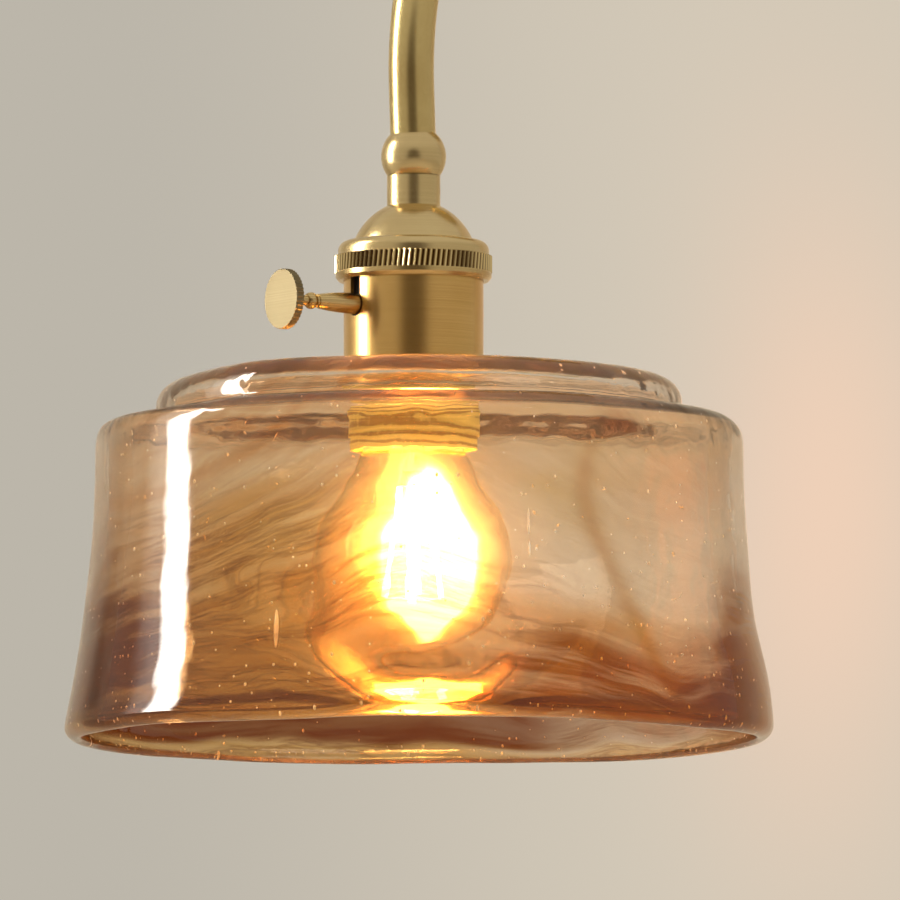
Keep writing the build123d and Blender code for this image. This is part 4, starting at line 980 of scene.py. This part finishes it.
class WALLLIGHT_OT_studio(bpy.types.Operator):
    """Sets the pale floor, the warm grey backdrop, the soft lamps and the camera"""

    bl_idname = "walllight.studio"
    bl_label = "Photo studio"

    def execute(self, context):
        s = context.scene.wall_light_studio
        right, up, back = camera_axes(s)
        front = levelled(back)
        aim = PIVOT + right * s.aim_right - up * s.aim_down
        self.camera(context, s, aim, right, up, back)
        self.backdrop(s, aim, front)
        self.floor(s)
        self.window(s, aim, right, front)
        self.fill(context, aim, right, back)
        self.card(s, aim, right, back)
        self.world(context, front)
        context.scene.view_settings.view_transform = "Standard"
        # Thick glass edges bounce light inside themselves many times before it leaves
        context.scene.cycles.max_bounces = 16
        context.scene.cycles.glossy_bounces = 6
        context.scene.cycles.transmission_bounces = 16
        context.scene.cycles.transparent_max_bounces = 16
        return {"FINISHED"}

    def camera(self, context, s, aim, right, up, back):
        """Long lens from far off, as the photograph's near-parallel edges show."""
        data = bpy.data.cameras.new("camera")
        data.sensor_width = 36.0
        data.lens = s.scale * 1000 * s.distance * data.sensor_width / PHOTO_WIDTH
        data.clip_end = 100.0
        camera = bpy.data.objects.new("camera", data)
        context.scene.collection.objects.link(camera)
        turn = Matrix((right, up, back)).transposed().to_4x4()
        camera.matrix_world = Matrix.Translation(aim + back * s.distance) @ turn
        context.scene.camera = camera

    def one_sided(self, shown, lit):
        """Seen by the camera as shown, lighting the object as lit, and clear from behind."""
        tree = lit.tree
        front = mix(seen_directly(tree), lit, shown)
        return mix(add(tree, "NewGeometry", output="Backfacing"), front, see_through(tree))

    def backdrop(self, s, aim, front):
        """Painted board behind the light, warm grey, with painted light on it: lighter towards the right,
        with a rosy pool of light there.
        """
        place = aim - front * BOARD_DISTANCE
        board = add_board("backdrop", place, s.azimuth, 3.4, 2.6)
        material, tree = new_material("painted_board")
        # The camera looks slightly up, so the frame's centre falls higher on the board than on the light
        middle = place + Vector((0, 0, BOARD_DISTANCE * tan(-s.elevation)))
        place = object_place(tree, centre=middle, turn=(0, 0, s.azimuth))
        x, _, z = split(place)
        across = noise(place, 3.0, 1.0) * 0.03 + x
        # One pixel of the photograph, as long as it is on the board
        pixel = (s.distance + BOARD_DISTANCE) / s.distance / s.scale * MM
        # Painted light: the board grows lighter towards the right
        tint = blend(soft_step(across, -330 * pixel, 330 * pixel), s.wall_left, s.wall_right)
        # Painted light: a warm pool of light on the board at the right
        painted_light_pool = bell((across, 410 * pixel, 130 * pixel), (z, -60 * pixel, 330 * pixel))
        tint = blend(painted_light_pool, tint, s.wall_painted_pool)
        lit = add(tree, "BsdfDiffuse", {"Color": tint})
        give(finish_material(material, self.one_sided(emission(tree, tint), lit)), board)

    def floor(self, s):
        """Pale matt floor a metre under the light."""
        start_piece()
        bpy.ops.mesh.primitive_plane_add(size=9.0, location=(0, -0.5, -1.15))
        floor = settle_piece("studio_floor")
        material, tree = new_material("pale_floor_paint")
        tint = blend(noise(object_place(tree), 4.0, 3.0) * 0.15, s.floor, "#C9C2B6")
        lit = add(tree, "BsdfDiffuse", {"Color": tint})
        give(finish_material(material, self.one_sided(lit, lit)), floor)

    def window(self, s, aim, right, front):
        """Tall soft box at the left: crisp at its front edge and fading towards the back."""
        centre = aim - right * 1.25 - front * 0.12 + Vector((0, 0, 0.45))
        turn = s.azimuth + pi / 2
        box = add_board("left_window", centre, turn, 0.8, 1.15)
        material, tree = new_material("soft_box_cloth")
        across = split(object_place(tree, centre=centre, turn=(0, 0, turn)))[0]
        core = soft_step(across, -0.24, -0.19) * soft_step(across, 0.05, -0.02)
        fade = soft_step(across, -0.28, -0.18) * soft_step(across, 0.38, 0.0)
        light = emission(tree, "#FFF9F0", core * 24.0 + fade * 3.0)
        give(finish_material(material, add(tree, "AddShader", {0: light, 1: see_through(tree)})), box)
        box.visible_camera = False
        box.visible_shadow = False

    def fill(self, context, aim, right, back):
        """Large weak soft box above and in front."""
        data = bpy.data.lights.new("front_fill", "AREA")
        data.shape = "RECTANGLE"
        data.size = 1.4
        data.size_y = 1.4
        data.energy = 22.0
        data.color = to_linear("#FFF4E4")[:3]
        lamp = bpy.data.objects.new("front_fill", data)
        context.scene.collection.objects.link(lamp)
        place = aim + back * 1.6 + right * 1.3 + Vector((0, 0, 1.2))
        turn = (place - aim).to_track_quat("Z", "Y").to_matrix().to_4x4()
        lamp.matrix_world = Matrix.Translation(place) @ turn
        lamp.visible_camera = False
        lamp.visible_glossy = False

    def card(self, s, aim, right, back):
        """Grey card beside the light. It only keeps the window's image off the far wall of the glass."""
        card = add_board("grey_card", aim - right * 0.4 - back * 0.17, s.azimuth + pi / 2, 0.42, 1.2)
        material, tree = new_material("grey_card_paper")
        tint = ramp(noise(object_place(tree), 30.0), 0.3, s.wall_left, 0.7, "#C2BCB0")
        give(finish_material(material, emission(tree, tint)), card)
        card.visible_camera = card.visible_glossy = card.visible_diffuse = card.visible_shadow = False

    def world(self, context, front):
        """Soft room light, darker in the part of the room behind the camera."""
        world = bpy.data.worlds.new("studio")
        context.scene.world = world
        world.use_nodes = True
        tree = world.node_tree
        tree.nodes.clear()
        direction = add(tree, "TexCoord", output="Generated")
        facing = vector_maths("DOT_PRODUCT", direction, front, output="Value")
        room = blend(soft_step(split(direction)[2], 0.15, 0.75), "#C4BBAA", "#D8D1C4")
        room = blend(soft_step(facing, 0.86, 0.985), room, "#665B4C")
        tint = blend(seen_directly(tree), room, "#C4BDB0")
        output = tree.nodes.new("ShaderNodeOutputWorld")
        plug(output.inputs["Surface"], add(tree, "Background", {"Color": tint, "Strength": 1.0}))


class WALLLIGHT_PT_panel(bpy.types.Panel):
    """Wall light in the sidebar"""

    bl_label = "Wall Light"
    bl_idname = "WALLLIGHT_PT_panel"
    bl_space_type = "VIEW_3D"
    bl_region_type = "UI"
    bl_category = "Wall Light"

    def draw(self, context):
        for operator in OPERATORS:
            self.layout.operator(operator.bl_idname)
        for group in GROUPS:
            box = self.layout.box()
            settings = getattr(context.scene, group)
            for name in settings.__annotations__:
                box.prop(settings, name)


OPERATORS = (
    WALLLIGHT_OT_brass,
    WALLLIGHT_OT_inner,
    WALLLIGHT_OT_shade,
    WALLLIGHT_OT_bubbles,
    WALLLIGHT_OT_bulb,
    WALLLIGHT_OT_studio,
)
GROUPS = {
    "wall_light_brass": BrassSettings,
    "wall_light_shade": ShadeSettings,
    "wall_light_bulb": BulbSettings,
    "wall_light_studio": StudioSettings,
}


def register():
    for group, settings in GROUPS.items():
        bpy.utils.register_class(settings)
        setattr(bpy.types.Scene, group, PointerProperty(type=settings))
    for operator in OPERATORS:
        bpy.utils.register_class(operator)
    bpy.utils.register_class(WALLLIGHT_PT_panel)


def unregister():
    bpy.utils.unregister_class(WALLLIGHT_PT_panel)
    for operator in reversed(OPERATORS):
        bpy.utils.unregister_class(operator)
    for group, settings in GROUPS.items():
        delattr(bpy.types.Scene, group)
        bpy.utils.unregister_class(settings)


def main():
    register()
    bpy.ops.walllight.brass()
    bpy.ops.walllight.inner()
    bpy.ops.walllight.shade()
    bpy.ops.walllight.bubbles()
    bpy.ops.walllight.bulb()
    bpy.ops.walllight.studio()


if __name__ == "__main__":
    main()
